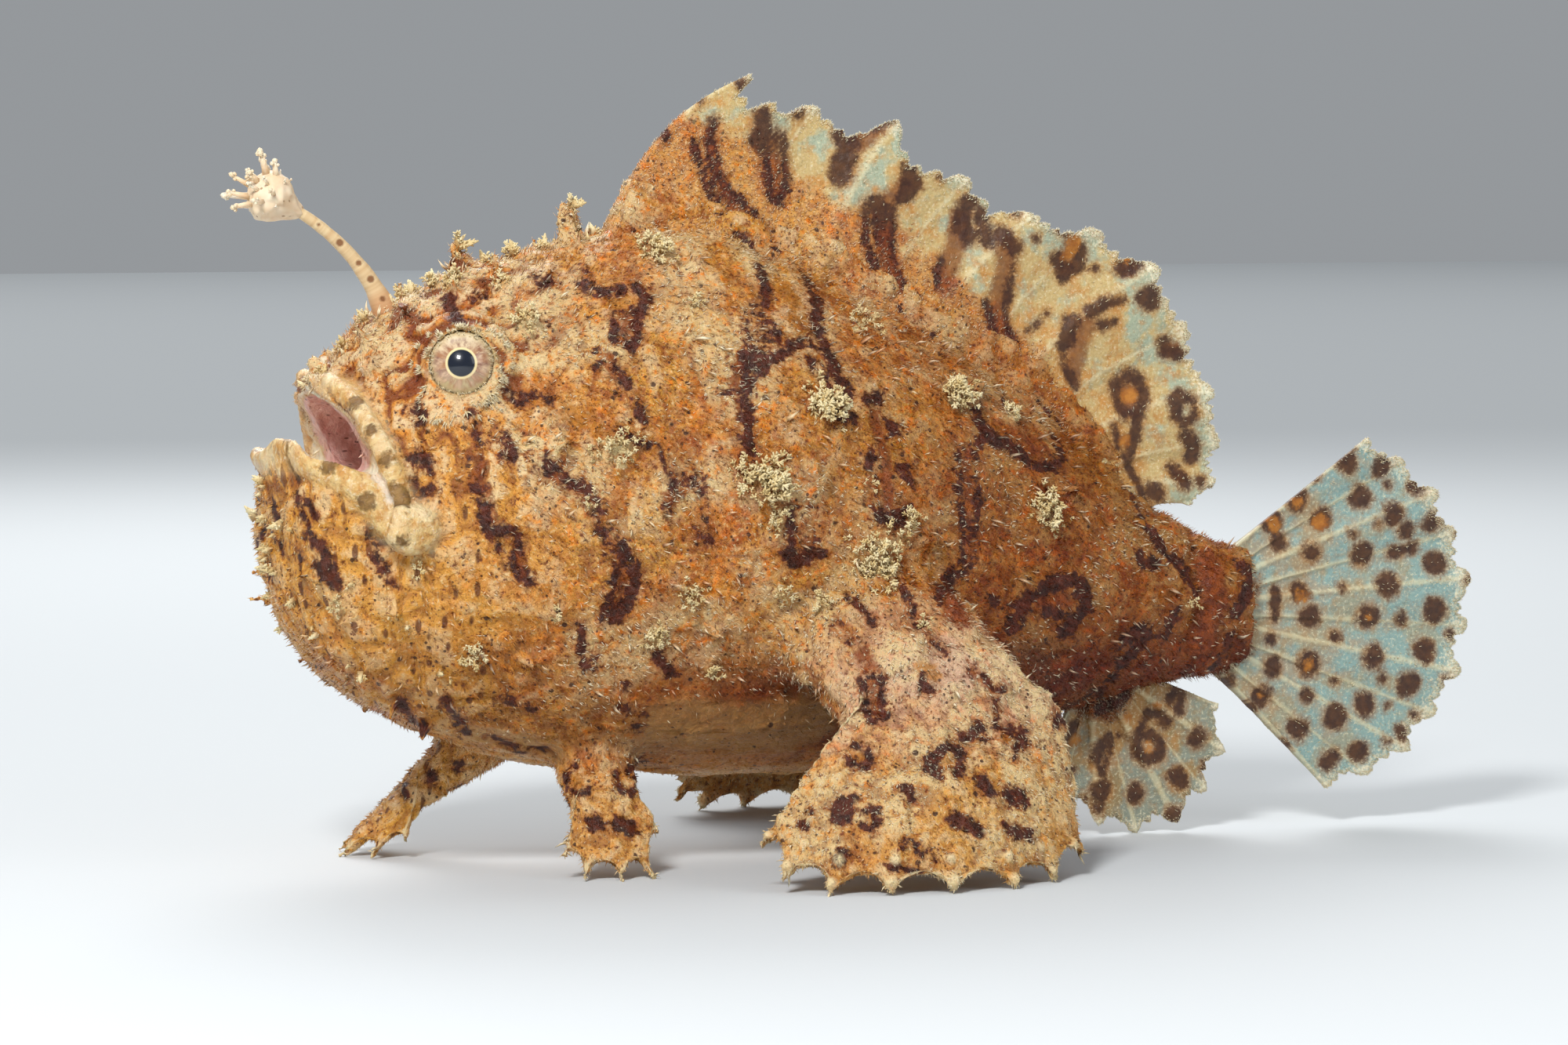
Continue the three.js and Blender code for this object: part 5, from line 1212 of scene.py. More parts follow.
# how they lie: back along the trunk, forward and down on the chin, down the limbs, and up the sail
lie = np.column_stack([np.ones(len(roots)), np.zeros(len(roots)), -0.35 + 0.7 * crown])
lie = lie * (1 - chin)[:, None] + np.column_stack([-0.6 * chin, 0.2 * side * chin, -0.3 * chin])
down = np.column_stack([(x - np.where(y > 0, 15.0, 2.0)) / 45.0, 0.25 * side, -np.ones(len(roots))])
lie = np.where((on_arm | on_hand)[:, None], down, lie)
lie = np.where(on_leg[:, None], (-0.3, 0.0, -1.0), lie)
lie = lie * (1 - root_fin)[:, None] + np.array([0.45, 0.0, 0.9]) * root_fin[:, None]
lie = combed(lie, ways, random.normal(0.0, COAT_TURN, len(roots)))

# which are cream flecks and which are stout cones
# the frost carries the painted light on the face and the painted shade low and behind, and so do the coat's
# cream flecks
frost_and_painted_light = root_values["frost_and_painted_light"]
cream = random.random(len(roots)) < FLECKS * (0.1 + 0.9 * frost_and_painted_light + 0.4 * on_arm) * (1.0 - 0.7 * root_belly)
length = np.where(cream, 0.8 * length, length)
stand = np.radians(random.uniform(38.0, 70.0, len(roots)) + 14.0 * chin - 16.0 * cream)
grow = raised(ways, lie, stand)
radius = np.where(cream, FLECK_RADIUS, COAT_RADIUS) * random.uniform(0.8, 1.25, len(roots))
width = radius / (SPINE_WIDTH * length)
sort = np.searchsorted(np.cumsum(SEED_SHARES)[:-1], random.random(len(roots)))
root_point = rise(at_roots(convex), 0.1, 0.3) * np.clip(root_small + on_arm, 0.0, 1.0)
papillae = PAPILLAE * (1.0 + 4.5 * chin + 1.5 * on_arm + 11.0 * root_point)
stout = (random.random(len(roots)) < papillae) & (root_eye > 8.0)
length = np.where(stout, length * random.uniform(1.2, 1.9, len(roots)), length)
length = np.where(stout & (root_point > 0.5), length * 1.35, length)
width = np.where(stout, random.uniform(1.1, 1.8, len(roots)), width)
grow = np.where(stout[:, None], grow + 0.5 * ways, grow)
sort[stout] = 0
strong_frost = random.uniform(0.7, 1.0, len(roots))
weak_frost = random.choice([0.0, 0.2, 0.5], len(roots)) * frost_and_painted_light
root_values["frost"] = np.where(stout | cream, strong_frost, weak_frost)
root_values["frost"] *= np.where(stout, 0.4 + 0.6 * frost_and_painted_light, 1.0)

trunk = ~(on_arm | on_hand | on_leg)
parts = [on_leg, on_arm | on_hand, x < -44, x < -18, x < 10]
region = np.select(parts, ["legs", "arm", "face", "cheek", "flank"], "tail")
piece_names = np.where(y > 0, np.char.add(region, "_right"), np.char.add(region, "_left"))
piece_names = np.char.add("coat_", np.where(on_leg, region, piece_names))
# the trunk is unrolled round its axis, and each limb's two faces are laid apart
round_trunk = 30.0 * np.arctan2(y, z - 40.0)
outer = np.where(ways[:, 1] * side > 0, 1.0, -1.0)
unwrap = np.column_stack([x, np.where(trunk, round_trunk, outer * (z + 2.0))])
unwrap[:, 0] += np.where(on_leg & (y > 0), 40.0, 0.0)


def planted_piece(name, stems, sort, roots, grow, lie, length, width, spots, values, material):
    """Copies of the seeds joined in one piece, with a colour map that has a patch at each root's spot."""
    grown, numbers, tips, maps, owners = [], [], [], [], []
    start = 0
    for number, stem in enumerate(stems):
        corners = stem[0]
        own = np.flatnonzero(sort == number)
        copies, their_faces = plant(stem, roots[own], grow[own], lie[own], length[own], width[own])
        grown.append(copies)
        numbers.append(their_faces + start)
        start += len(copies)
        tips.append(np.tile(np.clip(corners[:, 2], 0, 1), len(own)))
        patch = np.clip(corners[:, [0, 2]] - (0.0, 0.5), -0.5, 0.5) * PATCH
        maps.append((spots[own][:, None] + patch[None]).reshape(-1, 2))
        owners.append(np.repeat(own, len(corners)))
    faces, owners = np.concatenate(numbers), np.concatenate(owners)
    piece = piece_from(name, np.concatenate(grown), faces)
    give(piece.data, tip=np.concatenate(tips), **{key: value[owners] for key, value in values.items()})
    layer = piece.data.uv_layers.new(name="OFBake")
    layer.data.foreach_set("uv", np.concatenate(maps)[faces.ravel()].astype(np.float32).ravel())
    piece.data.materials.append(material)
    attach(piece, "root")
    return piece


def spread(spots):
    """Spots on the unwrap, fitted to the colour map."""
    low, high = spots.min(axis=0), spots.max(axis=0)
    return 0.02 + 0.96 * (spots - low) / np.maximum(high - low, 1e-6)


# stiff little spines of skin over bone, wet and clear at the tip, so they catch the light as pale points
spine_skin, tree = new_material("pale-tipped skin spines")
colour, relief = flesh_colour(tree)
tip = add(tree, "Attribute", attribute_name="tip").outputs["Fac"]
frost = add(tree, "Attribute", attribute_name="frost").outputs["Fac"]
dark = add(tree, "Attribute", attribute_name="dark").outputs["Fac"]
span = {"Value": dark, "From Min": -0.2, "From Max": 0.5, "To Min": 0.25, "To Max": 0.0}
hold = add(tree, "MapRange", span).outputs[0]  # less frost on the dark bands
shown = add(tree, "Math", {0: frost, 1: hold}, operation="SUBTRACT", use_clamp=True).outputs[0]
# painted shade: each spine darkens towards its root, deep in the coat
colour = tint(tree, colour, "#6A3414", tip, 0.4, 0.0, 0.35)
colour = tint(tree, colour, "#F8ECCB", tip, -0.2, 0.6, 1.0, shown)
shader = add(tree, "BsdfPrincipled", {"Base Color": colour, "Roughness": 0.3, "IOR": 1.4})
add(tree, "OutputMaterial", {"Surface": shader.outputs[0]})
for name in np.unique(piece_names).tolist():
    mine = piece_names == name
    planted_piece(
        name, seeds, sort[mine], (roots - 0.1 * grow)[mine], grow[mine], lie[mine], length[mine], width[mine],
        spread(unwrap[mine]), {key: values[mine] for key, values in root_values.items()}, spine_skin,
    )


# Nap on the fins
# The body's spines run up the fleshy foot of each fin. Beyond it the web is nearly bare, with cream points of
# its own along the rays and round the ragged edge.
FIN_NAP = [  # the fin, how many spines and how long, how many points and how long, and how they lean
    (sail, 11000, 0.5, 5200, 0.55, 0.8),
    (tail, 2200, 0.42, 4200, 0.5, -0.1),
    (anal, 2600, 0.42, 1200, 0.45, -0.9),
]

# hard little points, lit through at their tips
fin_points, tree = new_material("cream fin points")
tip = add(tree, "Attribute", attribute_name="tip").outputs["Fac"]
tone = tint(tree, srgb("#C9B27C"), "#F0E7CB", tip, 0.0, 0.7)
shader = add(tree, "BsdfPrincipled", {"Base Color": tone, "Roughness": 0.4, "IOR": 1.4})
add(tree, "OutputMaterial", {"Surface": shader.outputs[0]})


def kept_on(mesh, name):
    """A value or direction that was kept at each vertex."""
    kept = mesh.attributes[name]
    field, wide = ("vector", 3) if kept.data_type == "FLOAT_VECTOR" else ("value", 1)
    values = np.empty(len(mesh.vertices) * wide, dtype=np.float32)
    kept.data.foreach_get(field, values)
    return values.reshape(len(mesh.vertices), -1).squeeze().astype(float)


def fin_nap(name, fin, weight, count, size, rise_up, material):
    """A nap of single spines on a fin, thickest where the weight is high, that leans back and up its rays."""
    corners, normals, faces = to_animal(corners_of(fin.data)), outward(fin.data), triangles_of(fin.data)
    chosen, shares = scatter(corners, faces, weight[faces].mean(axis=1) + 1e-9, count)
    roots = carried(corners, faces, chosen, shares)
    ways = unit(carried(normals, faces, chosen, shares))
    shown = ("place", "dark", "brown", "amber", "up")
    values = {key: carried(kept_on(fin.data, key), faces, chosen, shares) for key in shown}
    values.update(zones(values["place"]))
    values.update({key: np.full(count, value) for key, value in UNMARKED.items()})
    values["frost"] = random.choice([0.0, 0.3, 0.7], count)
    lie = unit(np.column_stack([np.full(count, 0.6), np.zeros(count), np.full(count, rise_up)]))
    lie = combed(lie, ways, random.normal(0.0, 0.6, count))
    grow = raised(ways, lie, np.radians(random.uniform(20.0, 60.0, count)))
    length = size * random.uniform(0.5, 1.3, count) * (1.15 - 0.5 * values["up"])
    width = COAT_RADIUS * random.uniform(0.7, 1.3, count) / (SPINE_WIDTH * length)
    spots = spread(roots[:, [0, 2]] + np.where(ways[:, 1] > 0, 70.0, 0.0)[:, None] * (1.0, 0.0))
    planted_piece(
        name, seeds, np.zeros(count, int), roots, grow, lie, length, width, spots, values, material
    )


for fin, count, size, points, point_size, rise_up in FIN_NAP:
    up, flesh, edge, from_ray = (kept_on(fin.data, key) for key in ("up", "flesh", "edge", "from_ray"))
    on_foot = rise(flesh, 0.2, 0.8) * rise(up, -0.05, 0.2)
    fin_nap(f"{fin.name}_nap", fin, on_foot, count, size, rise_up, spine_skin)
    on_rays = (1.0 - rise(from_ray, 0.2, 0.7)) * rise(up, 0.25, 0.7)
    on_web = 6.0 * rise(edge, 0.96, 0.995) + 0.5 * on_rays + 0.06 * rise(up, 0.3, 0.6)
    fin_nap(f"{fin.name}_points", fin, on_web, points, point_size, rise_up, fin_points)


# Cream tufts
# Pale knobbly skin tags grow in small dense clumps on the flanks and brow, like scraps of sponge. One
# branching tag and one broad peak are modelled from cones, and each clump is planted with dozens of them.
TAG_BRANCHES = [  # on the stalk of one tag: its height and length, lean and turn, radius at its foot and tip
    (0.0, 1.0, 0.0, 0.0, 0.11, 0.07), (0.25, 0.55, 0.9, 0.6, 0.11, 0.07), (0.4, 0.5, 0.8, 2.7, 0.11, 0.07),
    (0.5, 0.45, 0.9, 4.6, 0.11, 0.07), (0.7, 0.4, 0.7, 1.6, 0.11, 0.07), (0.75, 0.35, 0.8, 3.7, 0.11, 0.07),
]
PEAK_BRANCHES = [  # the same for a broad frilly peak, such as stand along the brow and chin
    (0.0, 1.0, 0.05, 0.0, 0.36, 0.04), (0.05, 0.5, 1.0, 0.3, 0.16, 0.02),
    (0.12, 0.46, 0.95, 2.3, 0.16, 0.02), (0.2, 0.42, 0.9, 4.3, 0.15, 0.02),
    (0.32, 0.36, 0.85, 1.2, 0.13, 0.02), (0.42, 0.33, 0.8, 3.2, 0.12, 0.02),
    (0.5, 0.3, 0.8, 5.3, 0.11, 0.02), (0.62, 0.24, 0.7, 0.6, 0.09, 0.02), (0.7, 0.2, 0.7, 2.8, 0.08, 0.02),
]
CREST = [  # on the middle line of the back: place along X, height of its peak, how many tags round it
    (-62.8, 1.5, 5), (-60.6, 1.9, 8), (-58.2, 1.7, 8), (-55.2, 1.9, 9), (-52.0, 2.0, 10), (-49.2, 2.6, 14),
    (-46.6, 2.4, 12), (-43.0, 2.8, 10), (-39.4, 2.3, 12), (-36.0, 2.6, 14), (-32.0, 2.3, 12),
    (-28.4, 2.2, 12), (-25.2, 2.0, 10),
]
CHIN_TAGS = [  # in the picture, and its length
    ((33.5, 61.5), 1.6), ((32.6, 66), 2.0), ((34, 66), 1.6), ((33.2, 75), 2.2), ((35.2, 80), 2.4),
    ((38.2, 85), 2.2), ((42.7, 89.2), 2.0), ((34.5, 70), 1.6), ((43, 43), 1.3), ((36.4, 83), 1.8),
    ((40.5, 87.5), 1.9), ((45, 74.5), 1.2), ((33.8, 72.5), 1.8), ((46, 86), 1.4), ((40.5, 81), 1.4),
    ((37.5, 76.5), 1.5), ((52, 80), 1.2), ((56, 86), 1.3),
]


def tag_seed(branches):
    """A tag or peak with its branches, each a four-sided cone."""
    made = []
    for height, length, lean, turn, foot, tip in branches:
        bpy.ops.object.select_all(action="DESELECT")
        bpy.ops.mesh.primitive_cone_add(
            vertices=4, radius1=foot, radius2=tip, depth=length, location=(0.0, 0.0, 0.5 * length)
        )
        made.append(start_piece("tag"))
        bpy.ops.object.mode_set(mode="EDIT")
        bpy.ops.mesh.select_all(action="SELECT")
        set_branch(height, lean, turn)
    return seed_of(made)


tags = [tag_seed(TAG_BRANCHES), tag_seed(PEAK_BRANCHES)]
hide = BVHTree.FromPolygons(skin_corners.tolist(), skin_faces.tolist())
both_sides = []
for at, radius, count, size in TUFTS:
    spot, way, _, _ = hide.ray_cast(*sight_line(*at))
    both_sides.append((spot, way, radius, count, size, 0))
    if abs(spot.y) > 3.0 and random.random() < 0.8:
        mirrored = Vector((spot.x - random.uniform(1.0, 4.0), -spot.y, spot.z + random.uniform(-2.0, 2.0)))
        spot, way, _, _ = hide.find_nearest(mirrored)
        both_sides.append((spot, way, radius, count, size, 0))
for x, height, count in CREST:
    spot, way, _, _ = hide.ray_cast(Vector((x, random.uniform(-0.8, 0.8), 140.0)), Vector((0.0, 0.0, -1.0)))
    both_sides.append((spot, way, 0.9, count, 0.5 * height, height))
for at, size in CHIN_TAGS:
    spot, way, _, _ = hide.ray_cast(*sight_line(*at))
    if spot:
        for turned in (1.0, -1.0):
            spot, way, _, _ = hide.find_nearest(Vector((spot.x, spot.y * turned, spot.z)))
            both_sides.append((spot, way, 0.35, 2, 0.6 * size, 1.1 * size))

roots, grow, lie, length, kind = [], [], [], [], []
for spot, way, radius, count, size, peak in both_sides:
    spot, way = np.array(spot), np.array(way)
    for share in (1.0, 0.62) if peak else ():
        place, face_way, _, _ = hide.find_nearest(Vector(spot + (1.0 - share) * random.normal(0.0, 3.0, 3)))
        roots.append(np.array(place) - 0.2 * np.array(face_way))
        grow.append(np.array(face_way) + 0.22 * random.normal(0.0, 1.0, 3))
        lie.append(random.normal(0.0, 1.0, 3))
        length.append(share * peak)
        kind.append(1)
    for _ in range(count):
        off = random.normal(0.0, 0.5, 3) * radius
        off -= (off @ way) * way
        place, face_way, _, _ = hide.find_nearest(Vector(spot + off))
        heap = math.exp(-((np.linalg.norm(off) / radius) ** 2))
        lift = random.uniform(-0.4, 0.35 + 0.9 * heap * min(1.0, radius / 2.0))
        roots.append(np.array(place) + np.array(face_way) * lift)
        grow.append(way + 0.6 * random.normal(0.0, 1.0, 3) + 0.8 * off / radius)
        lie.append(random.normal(0.0, 1.0, 3))
        length.append(size * random.uniform(0.6, 1.15) * (0.75 + 0.4 * heap))
        kind.append(0)
roots, grow, lie, length, kind = (np.array(kept) for kept in (roots, grow, lie, length, kind))

# soft and chalky, so it shows matt beside the wet skin
sponge, tree = new_material("matt cream skin tags")
tip = add(tree, "Attribute", attribute_name="tip").outputs["Fac"]
shade = add(tree, "Attribute", attribute_name="shade").outputs["Fac"]
cream = tint(tree, srgb("#EBDDB2"), "#D8BE84", shade, 0.0, 1.0)
# painted shade: each tag darkens towards its foot, deep in the clump
cream = tint(tree, cream, "#A87C44", tip, 0.6, 0.05, 0.8)
shader = add(tree, "BsdfPrincipled", {"Base Color": cream, "Roughness": 0.65, "IOR": 1.4})
add(tree, "OutputMaterial", {"Surface": shader.outputs[0]})
round_trunk = 30.0 * np.arctan2(roots[:, 1], roots[:, 2] - 40.0)
planted_piece(
    "cream_tufts", tags, kind, roots, grow, lie, length, np.ones(len(roots)),
    spread(np.column_stack([roots[:, 0], round_trunk])), {"shade": random.random(len(roots))}, sponge,
)


# Eyes
# A small ball sits deep in each round mound of skin, looking out and a little forward. The pupil is a
# blue-black disc in a thin gold ring, and the iris round it is mottled pink and brown like the skin.
EYE_RADIUS = 4.5
PUPIL = 1.62
CORNEA_BULGE = 0.35
EYE_LOOK = np.array([-0.3, 0.93, 0.13])
FRINGE = 700  # filaments round each eye, and how far from its axis they stand
FRINGE_REACH = (4.0, 7.7)
ON_BALL = 4.6  # nearer than this they are rooted on the ball, and beyond it on the skin
fringe = {"roots": [], "grow": [], "lie": [], "length": []}

# a wet ball with a clear hard front, which shows one sharp light over the dull iris and the black pupil
eyeball, tree = new_material("wet eye under a clear cornea")
radius = add(tree, "Attribute", attribute_name="from_axis").outputs["Fac"]
ray = add(tree, "Attribute", attribute_name="ray").outputs["Vector"]
streak = add(tree, "TexNoise", {"Vector": ray, "Scale": 2.2, "Detail": 4.0, "Roughness": 0.6}).outputs["Fac"]
blotch = add(tree, "TexNoise", {"Vector": ray, "Scale": 0.9, "Detail": 2.0}).outputs["Fac"]
high = add(tree, "Attribute", attribute_name="high").outputs["Fac"]
iris = tint(tree, srgb("#8A5E4E"), "#D6B592", streak, 0.4, 0.64)
iris = tint(tree, iris, "#A9744E", blotch, 0.5, 0.62, 0.8)
iris = tint(tree, iris, "#E2CDA8", stray(tree, high, streak, 1.2), 1.2, 3.2, 0.85)
iris = tint(tree, iris, "#CDBB8C", stray(tree, high, streak, 1.6), -1.4, -3.2, 0.85)
# the iris pales towards its edge, partly its own colour and partly painted light against the shade where the
# ball meets the skin
iris = tint(tree, iris, "#D8C294", radius, 3.0, 4.0, 0.85)
iris = tint(tree, iris, "#EBD6A0", radius, 2.0, 1.88)
iris = tint(tree, iris, "#0B1424", radius, PUPIL + 0.08, PUPIL - 0.02)
wet = {"Base Color": iris, "Roughness": 0.25, "IOR": 1.38, "Coat Weight": 1.0, "Coat Roughness": 0.03}
shader = add(tree, "BsdfPrincipled", wet)
add(tree, "OutputMaterial", {"Surface": shader.outputs[0]})

for name, side in (("left", -1.0), ("right", 1.0)):
    look = unit(EYE_LOOK * (1.0, side, 1.0))
    bpy.ops.object.select_all(action="DESELECT")
    bpy.ops.mesh.primitive_uv_sphere_add(segments=72, ring_count=48, radius=EYE_RADIUS * MM)
    ball = start_piece(f"eye_{name}_ball")
    bpy.ops.object.shade_smooth()
    corners = corners_of(ball.data) / MM
    across = unit(np.cross(look, (0.0, 0.0, 1.0)))
    through = np.cross(look, across)
    out, right, top = corners[:, 2], corners[:, 0], corners[:, 1]
    from_axis = np.hypot(right, top)
    bulge = CORNEA_BULGE * np.exp(-((from_axis / 2.1) ** 2)) * (out > 0)
    placed = eyes[name] + np.outer(out + bulge, look) + np.outer(right, across) + np.outer(top, through)
    move_corners(ball.data, to_scene(placed))
    turn = np.arctan2(top, right)
    give(
        ball.data,
        from_axis=np.where(out > 0, from_axis, 9.0),
        high=top * np.sign(through[2]),
        ray=np.column_stack([2 * np.cos(turn), 2 * np.sin(turn), 0.4 * from_axis]),
    )
    bpy.ops.object.mode_set(mode="EDIT")
    bpy.ops.mesh.select_all(action="SELECT")
    bpy.ops.mesh.normals_make_consistent(inside=False)
    bpy.ops.object.mode_set(mode="OBJECT")
    ball.data.materials.append(eyeball)
    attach(ball, "root")
    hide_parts(f"eye_{name}")
    for turn in random.uniform(0.0, 2 * math.pi, FRINGE):
        outward_way = across * math.cos(turn) + through * math.sin(turn)
        reach = FRINGE_REACH[0] + (FRINGE_REACH[1] - FRINGE_REACH[0]) * random.random() ** 1.4
        start = eyes[name] + look * 5.0 + outward_way * reach
        place, face_way, _, _ = hide.find_nearest(Vector(start))
        root = np.array(place) - 0.2 * np.array(face_way)
        if reach < ON_BALL:  # rooted on the ball itself, over its rim
            rim = reach - 0.7
            root = eyes[name] + rim * outward_way + math.sqrt((EYE_RADIUS - 0.1) ** 2 - rim**2) * look
        fringe["roots"].append(root)
        up_from_lid = random.uniform(0.15, 0.6) * look
        fringe["grow"].append(outward_way + up_from_lid + 0.35 * random.normal(0.0, 1.0, 3))
        fringe["lie"].append(outward_way)
        below = 1.0 + 0.35 * max(0.0, -float(outward_way[2]))
        fringe["length"].append(random.uniform(0.35, 1.1) * below * (1.0 if reach > 4.8 else 0.7))

# thin, soft and half clear, so it shows pale olive
filament, tree = new_material("pale olive eye fringe")
tip = add(tree, "Attribute", attribute_name="tip").outputs["Fac"]
olive = tint(tree, srgb("#C8AE7A"), "#EFE5C6", tip, 0.1, 0.9)
shader = add(tree, "BsdfPrincipled", {"Base Color": olive, "Roughness": 0.5, "IOR": 1.4})
add(tree, "OutputMaterial", {"Surface": shader.outputs[0]})
roots, grow, lie, length = (np.array(fringe[key]) for key in ("roots", "grow", "lie", "length"))
sort, width = random.integers(0, 3, len(roots)), random.uniform(0.6, 1.4, len(roots))
spots = spread(roots[:, [0, 2]] + np.where(roots[:, 1] > 0, 30.0, 0.0)[:, None] * (1.0, 0.0))
planted_piece("eye_fringe", seeds, sort, roots, grow, lie, length, width, spots, {}, filament)


# Lure
# The first spine of the back is a thin bare rod over the brow, pale with brown saddles. It carries a fluffy
# cream bait of short soft filaments on a lumpy ball, which the fish waves to draw its prey.
ROD = [  # points of its middle line, and its radius
    ((-51.8, 65.5), 2.1), ((-52.6, 69.5), 1.6), ((-54.4, 73.0), 1.1), ((-57.4, 76.8), 0.82),
    ((-60.6, 79.9), 0.72), ((-64.6, 82.4), 0.68),
]
ROD_CUTS = 64
# how far along the rod each saddle lies, and half its size
ROD_SPOTS = ((0.12, 0.85), (0.29, 0.42), (0.42, 0.5), (0.53, 0.4), (0.68, 0.5), (0.83, 0.25))
BAIT = np.array([-67.0, 0.0, 83.6])
BAIT_RADIUS = 3.1
BAIT_FACES = unit(np.array([-0.86, 0.0, 0.5]))
BAIT_FINGERS = 30
FINGER_BEADS = [
    ((0.05, 0.0, 1.0), 0.16), ((0.16, 0.1, 0.92), 0.11), ((-0.12, 0.08, 0.95), 0.12),
    ((0.02, -0.14, 0.8), 0.1),
]

rod_line = np.array([(x, 0.0, z) for (x, z), _ in ROD])
bpy.ops.object.select_all(action="DESELECT")
bpy.ops.mesh.primitive_cylinder_add(vertices=20, radius=1.0, depth=1.0)
rod = start_piece("rod")
bpy.ops.object.mode_set(mode="EDIT")
bpy.ops.mesh.select_all(action="SELECT")
bpy.ops.mesh.bisect(plane_co=(0, 0, 0), plane_no=(0, 0, 1))
for cut in range(1, ROD_CUTS):
    bpy.ops.mesh.select_all(action="SELECT")
    bpy.ops.mesh.bisect(plane_co=(0, 0, cut / ROD_CUTS - 0.5), plane_no=(0, 0, 1))
bpy.ops.object.mode_set(mode="OBJECT")
straight = corners_of(rod.data)
share = straight[:, 2] + 0.5
steps = np.linspace(0.0, 1.0, len(ROD))
smoothed = [np.polyfit(steps, rod_line[:, k], 3) for k in range(3)]
centre = np.column_stack([np.polyval(curve, share) for curve in smoothed])
forward = unit(np.column_stack([np.polyval(np.polyder(curve), share) for curve in smoothed]))
sideways = np.tile((0.0, 1.0, 0.0), (len(share), 1))
upright = np.cross(forward, sideways)
size = np.interp(share, steps, [radius for _, radius in ROD])
size = size * (1.0 + 0.06 * lumps(np.column_stack([share * 40, 0 * share, 0 * share]), 1.6))
off_middle = straight[:, 0:1] * sideways + straight[:, 1:2] * upright
move_corners(rod.data, to_scene(centre + size[:, None] * off_middle))
bpy.ops.object.shade_smooth()
round_rod = np.arctan2(np.abs(straight[:, 1]), np.abs(straight[:, 0])) * size
saddle = np.min([np.hypot((share - at) * 24.0, round_rod) - half for at, half in ROD_SPOTS], axis=0)
give(rod.data, place=centre, saddle=saddle, low=1.0 - share)

# wet bare skin, smoother than the body's, so it shows a soft shine
rod_skin, tree = new_material("bare rod skin")
place = add(tree, "Attribute", attribute_name="place").outputs["Vector"]
gap = add(tree, "Attribute", attribute_name="saddle").outputs["Fac"]
low = add(tree, "Attribute", attribute_name="low").outputs["Fac"]
grain = add(tree, "TexNoise", {"Vector": place, "Scale": 1.5, "Detail": 3.0}).outputs["Fac"]
tone = tint(tree, srgb("#DFC79B"), "#CDAA7C", grain, 0.35, 0.65)
tone = tint(tree, tone, "#B9642A", low, 0.6, 0.95)
tone = tint(tree, tone, "#7A4A26", gap, 0.12, -0.12, 0.9)
shader = add(tree, "BsdfPrincipled", {"Base Color": tone, "Roughness": 0.42, "IOR": 1.4})
add(tree, "OutputMaterial", {"Surface": shader.outputs[0]})
rod.data.materials.append(rod_skin)
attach(rod, "root")
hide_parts("lure_rod")

bpy.ops.object.select_all(action="DESELECT")
bpy.ops.mesh.primitive_ico_sphere_add(subdivisions=5, radius=1.0)
bait = start_piece("bait")
ball = corners_of(bait.data)
ahead = ball @ BAIT_FACES
behind = np.clip(-ahead, 0.0, 1.0)
around = ball - ahead[:, None] * BAIT_FACES
pear = around * (1.0 - 0.5 * behind**1.6)[:, None] + (ahead * (1.0 + 0.5 * behind**2))[:, None] * BAIT_FACES
knobbly = BAIT_RADIUS * (1.0 + 0.09 * lumps(ball * 3.1, 1.8) + 0.05 * lumps(ball * 3.1, 0.6))
move_corners(bait.data, to_scene(BAIT + pear * knobbly[:, None]))
bpy.ops.object.shade_smooth()
give(
    bait.data, place=ball * BAIT_RADIUS, tip=0.3 + 0.3 * lumps(ball * 3.0, 0.8),
    shade=0.5 + 0.5 * lumps(ball * 3.0, 1.5),
)

# soft, half clear flesh with faint brown freckles, so it glows pale against the dark brow
bait_flesh, tree = new_material("soft cream bait")
place = add(tree, "Attribute", attribute_name="place").outputs["Vector"]
tip = add(tree, "Attribute", attribute_name="tip").outputs["Fac"]
shade = add(tree, "Attribute", attribute_name="shade").outputs["Fac"]
cream = tint(tree, srgb("#F0E3CB"), "#E4C9A4", shade, 0.0, 1.0)
cream = tint(tree, cream, "#CFAC84", tip, 0.5, 0.0, 0.5)
dots = add(tree, "TexVoronoi", {"Vector": place, "Scale": 0.75}, feature="F1").outputs["Distance"]
cream = tint(tree, cream, "#8A6238", dots, 0.16, 0.1, 0.75)
shader = add(
    tree,
    "BsdfPrincipled",
    {
        "Base Color": cream, "Roughness": 0.5, "IOR": 1.4, "Subsurface Weight": 0.3,
        "Subsurface Radius": (1.0, 0.7, 0.5), "Subsurface Scale": 0.8 * MM,
    },
)
add(tree, "OutputMaterial", {"Surface": shader.outputs[0]})
bait.data.materials.append(bait_flesh)
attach(bait, "root")
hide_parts("lure")


def finger_seed():
    """A soft finger with a few small beads round its tip."""
    bpy.ops.object.select_all(action="DESELECT")
    bpy.ops.mesh.primitive_cone_add(vertices=6, radius1=0.2, radius2=0.1, depth=1.0, location=(0.0, 0.0, 0.5))
    made = [start_piece("finger")]
    for at, size in FINGER_BEADS:
        bpy.ops.object.select_all(action="DESELECT")
        bpy.ops.mesh.primitive_ico_sphere_add(subdivisions=1, radius=size, location=at)
        made.append(start_piece("finger"))
    return seed_of(made)


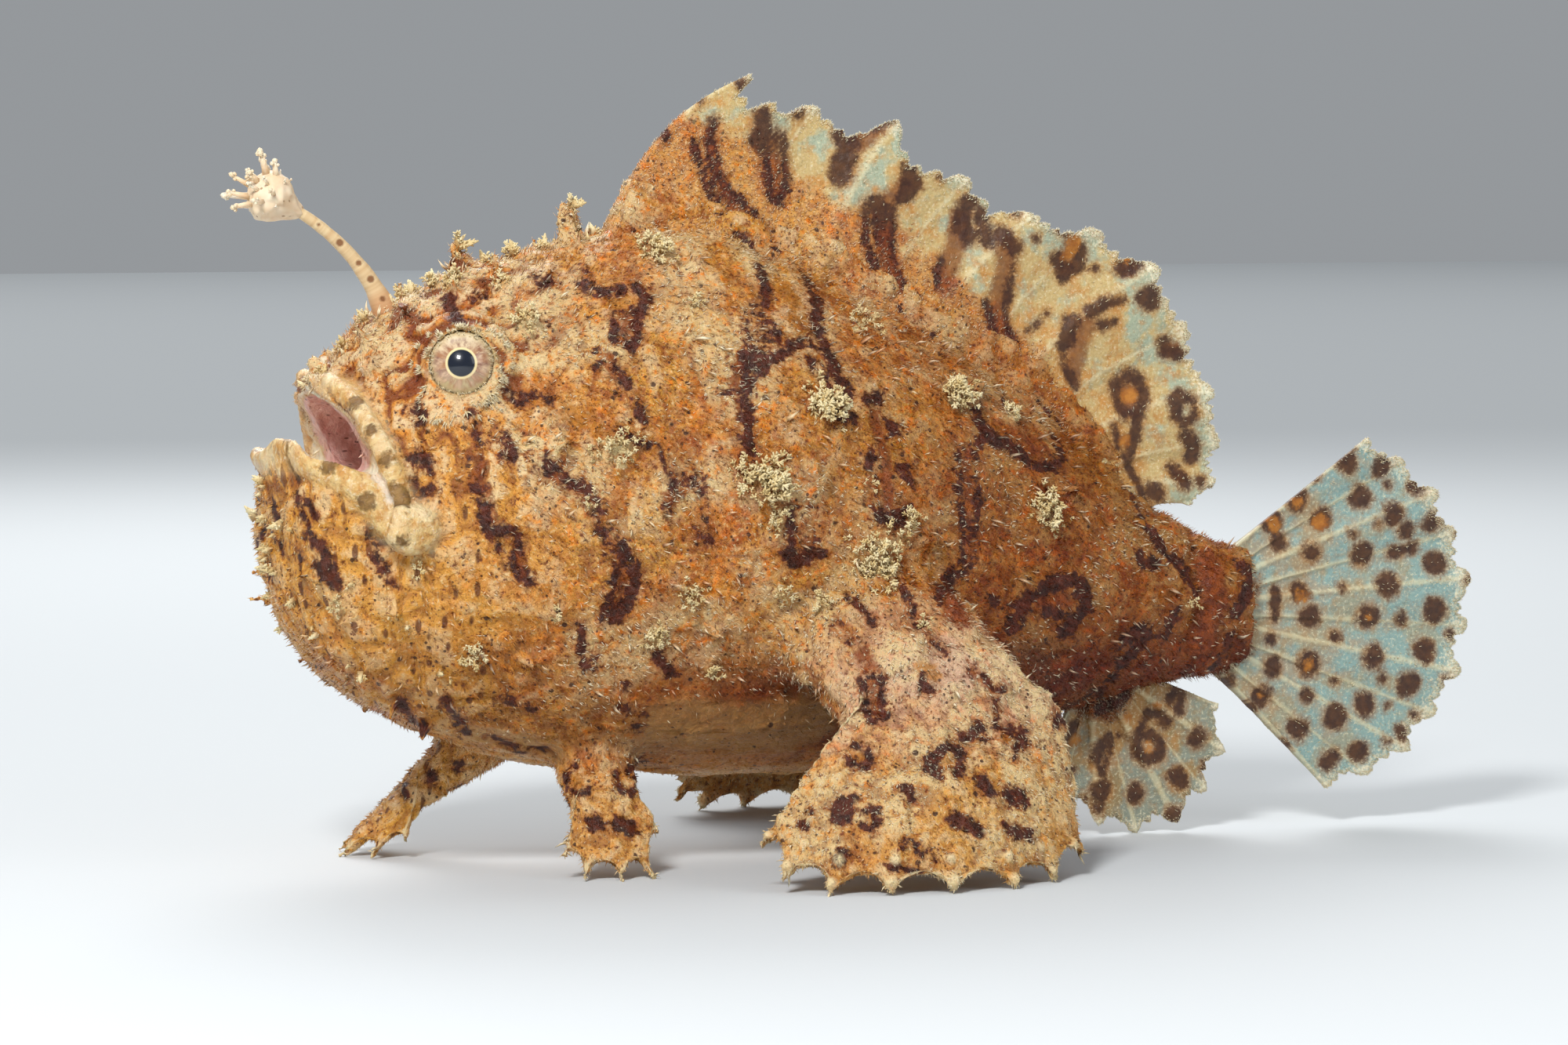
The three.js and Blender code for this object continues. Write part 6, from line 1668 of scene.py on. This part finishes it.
# the fingers are set evenly round the ball by the golden angle, and are longest in front
ahead = np.linspace(0.97, -0.35, BAIT_FINGERS)
around = math.pi * (3.0 - math.sqrt(5.0)) * np.arange(BAIT_FINGERS)
bait_top = unit(np.cross((0.0, 1.0, 0.0), BAIT_FACES))
sideways = np.cos(around)[:, None] * (0.0, 1.0, 0.0) + np.sin(around)[:, None] * bait_top
ways = ahead[:, None] * BAIT_FACES + np.sqrt(1 - ahead**2)[:, None] * sideways
upper = rise(ways[:, 2], -0.75, -0.2)
length = (0.9 + 2.1 * rise(ahead, -0.2, 0.7)) * random.uniform(0.55, 1.25, BAIT_FINGERS)
length = length * (0.25 + 0.75 * upper)
bent_ways = unit(ways + 0.5 * BAIT_FACES + 0.15 * random.normal(0.0, 1.0, ways.shape))
lie, width = random.normal(0.0, 1.0, ways.shape), random.uniform(0.7, 1.1, BAIT_FINGERS)
values = {"place": np.full((BAIT_FINGERS, 3), 0.4), "shade": random.random(BAIT_FINGERS)}
planted_piece(
    "bait_fingers", [finger_seed()], np.zeros(BAIT_FINGERS, int), BAIT + ways * BAIT_RADIUS * 0.88, bent_ways,
    lie, length, width, spread(np.column_stack([around % math.tau, ahead])), values, bait_flesh,
)


# Floor, light and camera
# A plain pale floor and a soft studio light from the camera's left. The camera is at the photograph's angle.
bpy.ops.object.select_all(action="DESELECT")
bpy.ops.mesh.primitive_plane_add(size=6.0)
floor = start_piece("floor")
# uncoated card, which shows no shine under the fish
paper, tree = new_material("matt pale paper")
shader = add(tree, "BsdfPrincipled", {"Base Color": srgb("#D0D4D6"), "Roughness": 0.9})
add(tree, "OutputMaterial", {"Surface": shader.outputs[0]})
floor.data.materials.append(paper)

world = bpy.data.worlds.new("studio")
bpy.context.scene.world = world
world.use_nodes = True
world.node_tree.nodes["Background"].inputs["Color"].default_value = srgb("#E6EBF0")
world.node_tree.nodes["Background"].inputs["Strength"].default_value = 0.38

LAMPS = [  # in metres: where it stands and how wide it is, and its power in watts
    ((-0.36, -0.44, 0.50), 0.15, 4.6),
    ((0.45, -0.50, 0.35), 0.40, 0.8),
    ((0.10, 0.60, 0.50), 0.40, 2.4),
    ((0.0, 1.8, 2.4), 3.3, 36.0),
]
for at, size, power in LAMPS:
    bpy.ops.object.light_add(type="AREA", location=at)
    lamp = bpy.context.object
    lamp.data.size, lamp.data.energy = size, power
    lamp.rotation_euler = (Vector((0.0, 0.0, 0.045)) - Vector(at)).to_track_quat("-Z", "Y").to_euler()

bpy.ops.object.camera_add()
camera = bpy.context.object
bpy.context.scene.view_settings.view_transform = "Standard"
camera.location = Vector(to_scene(VIEW_TARGET + view_back * VIEW_DISTANCE))
camera.rotation_euler = view_back.to_track_quat("Z", "Y").to_euler()
camera.data.sensor_width = 36.0
camera.data.lens = 126.0
camera.data.clip_start, camera.data.clip_end = 0.05, 20.0
bpy.context.scene.camera = camera
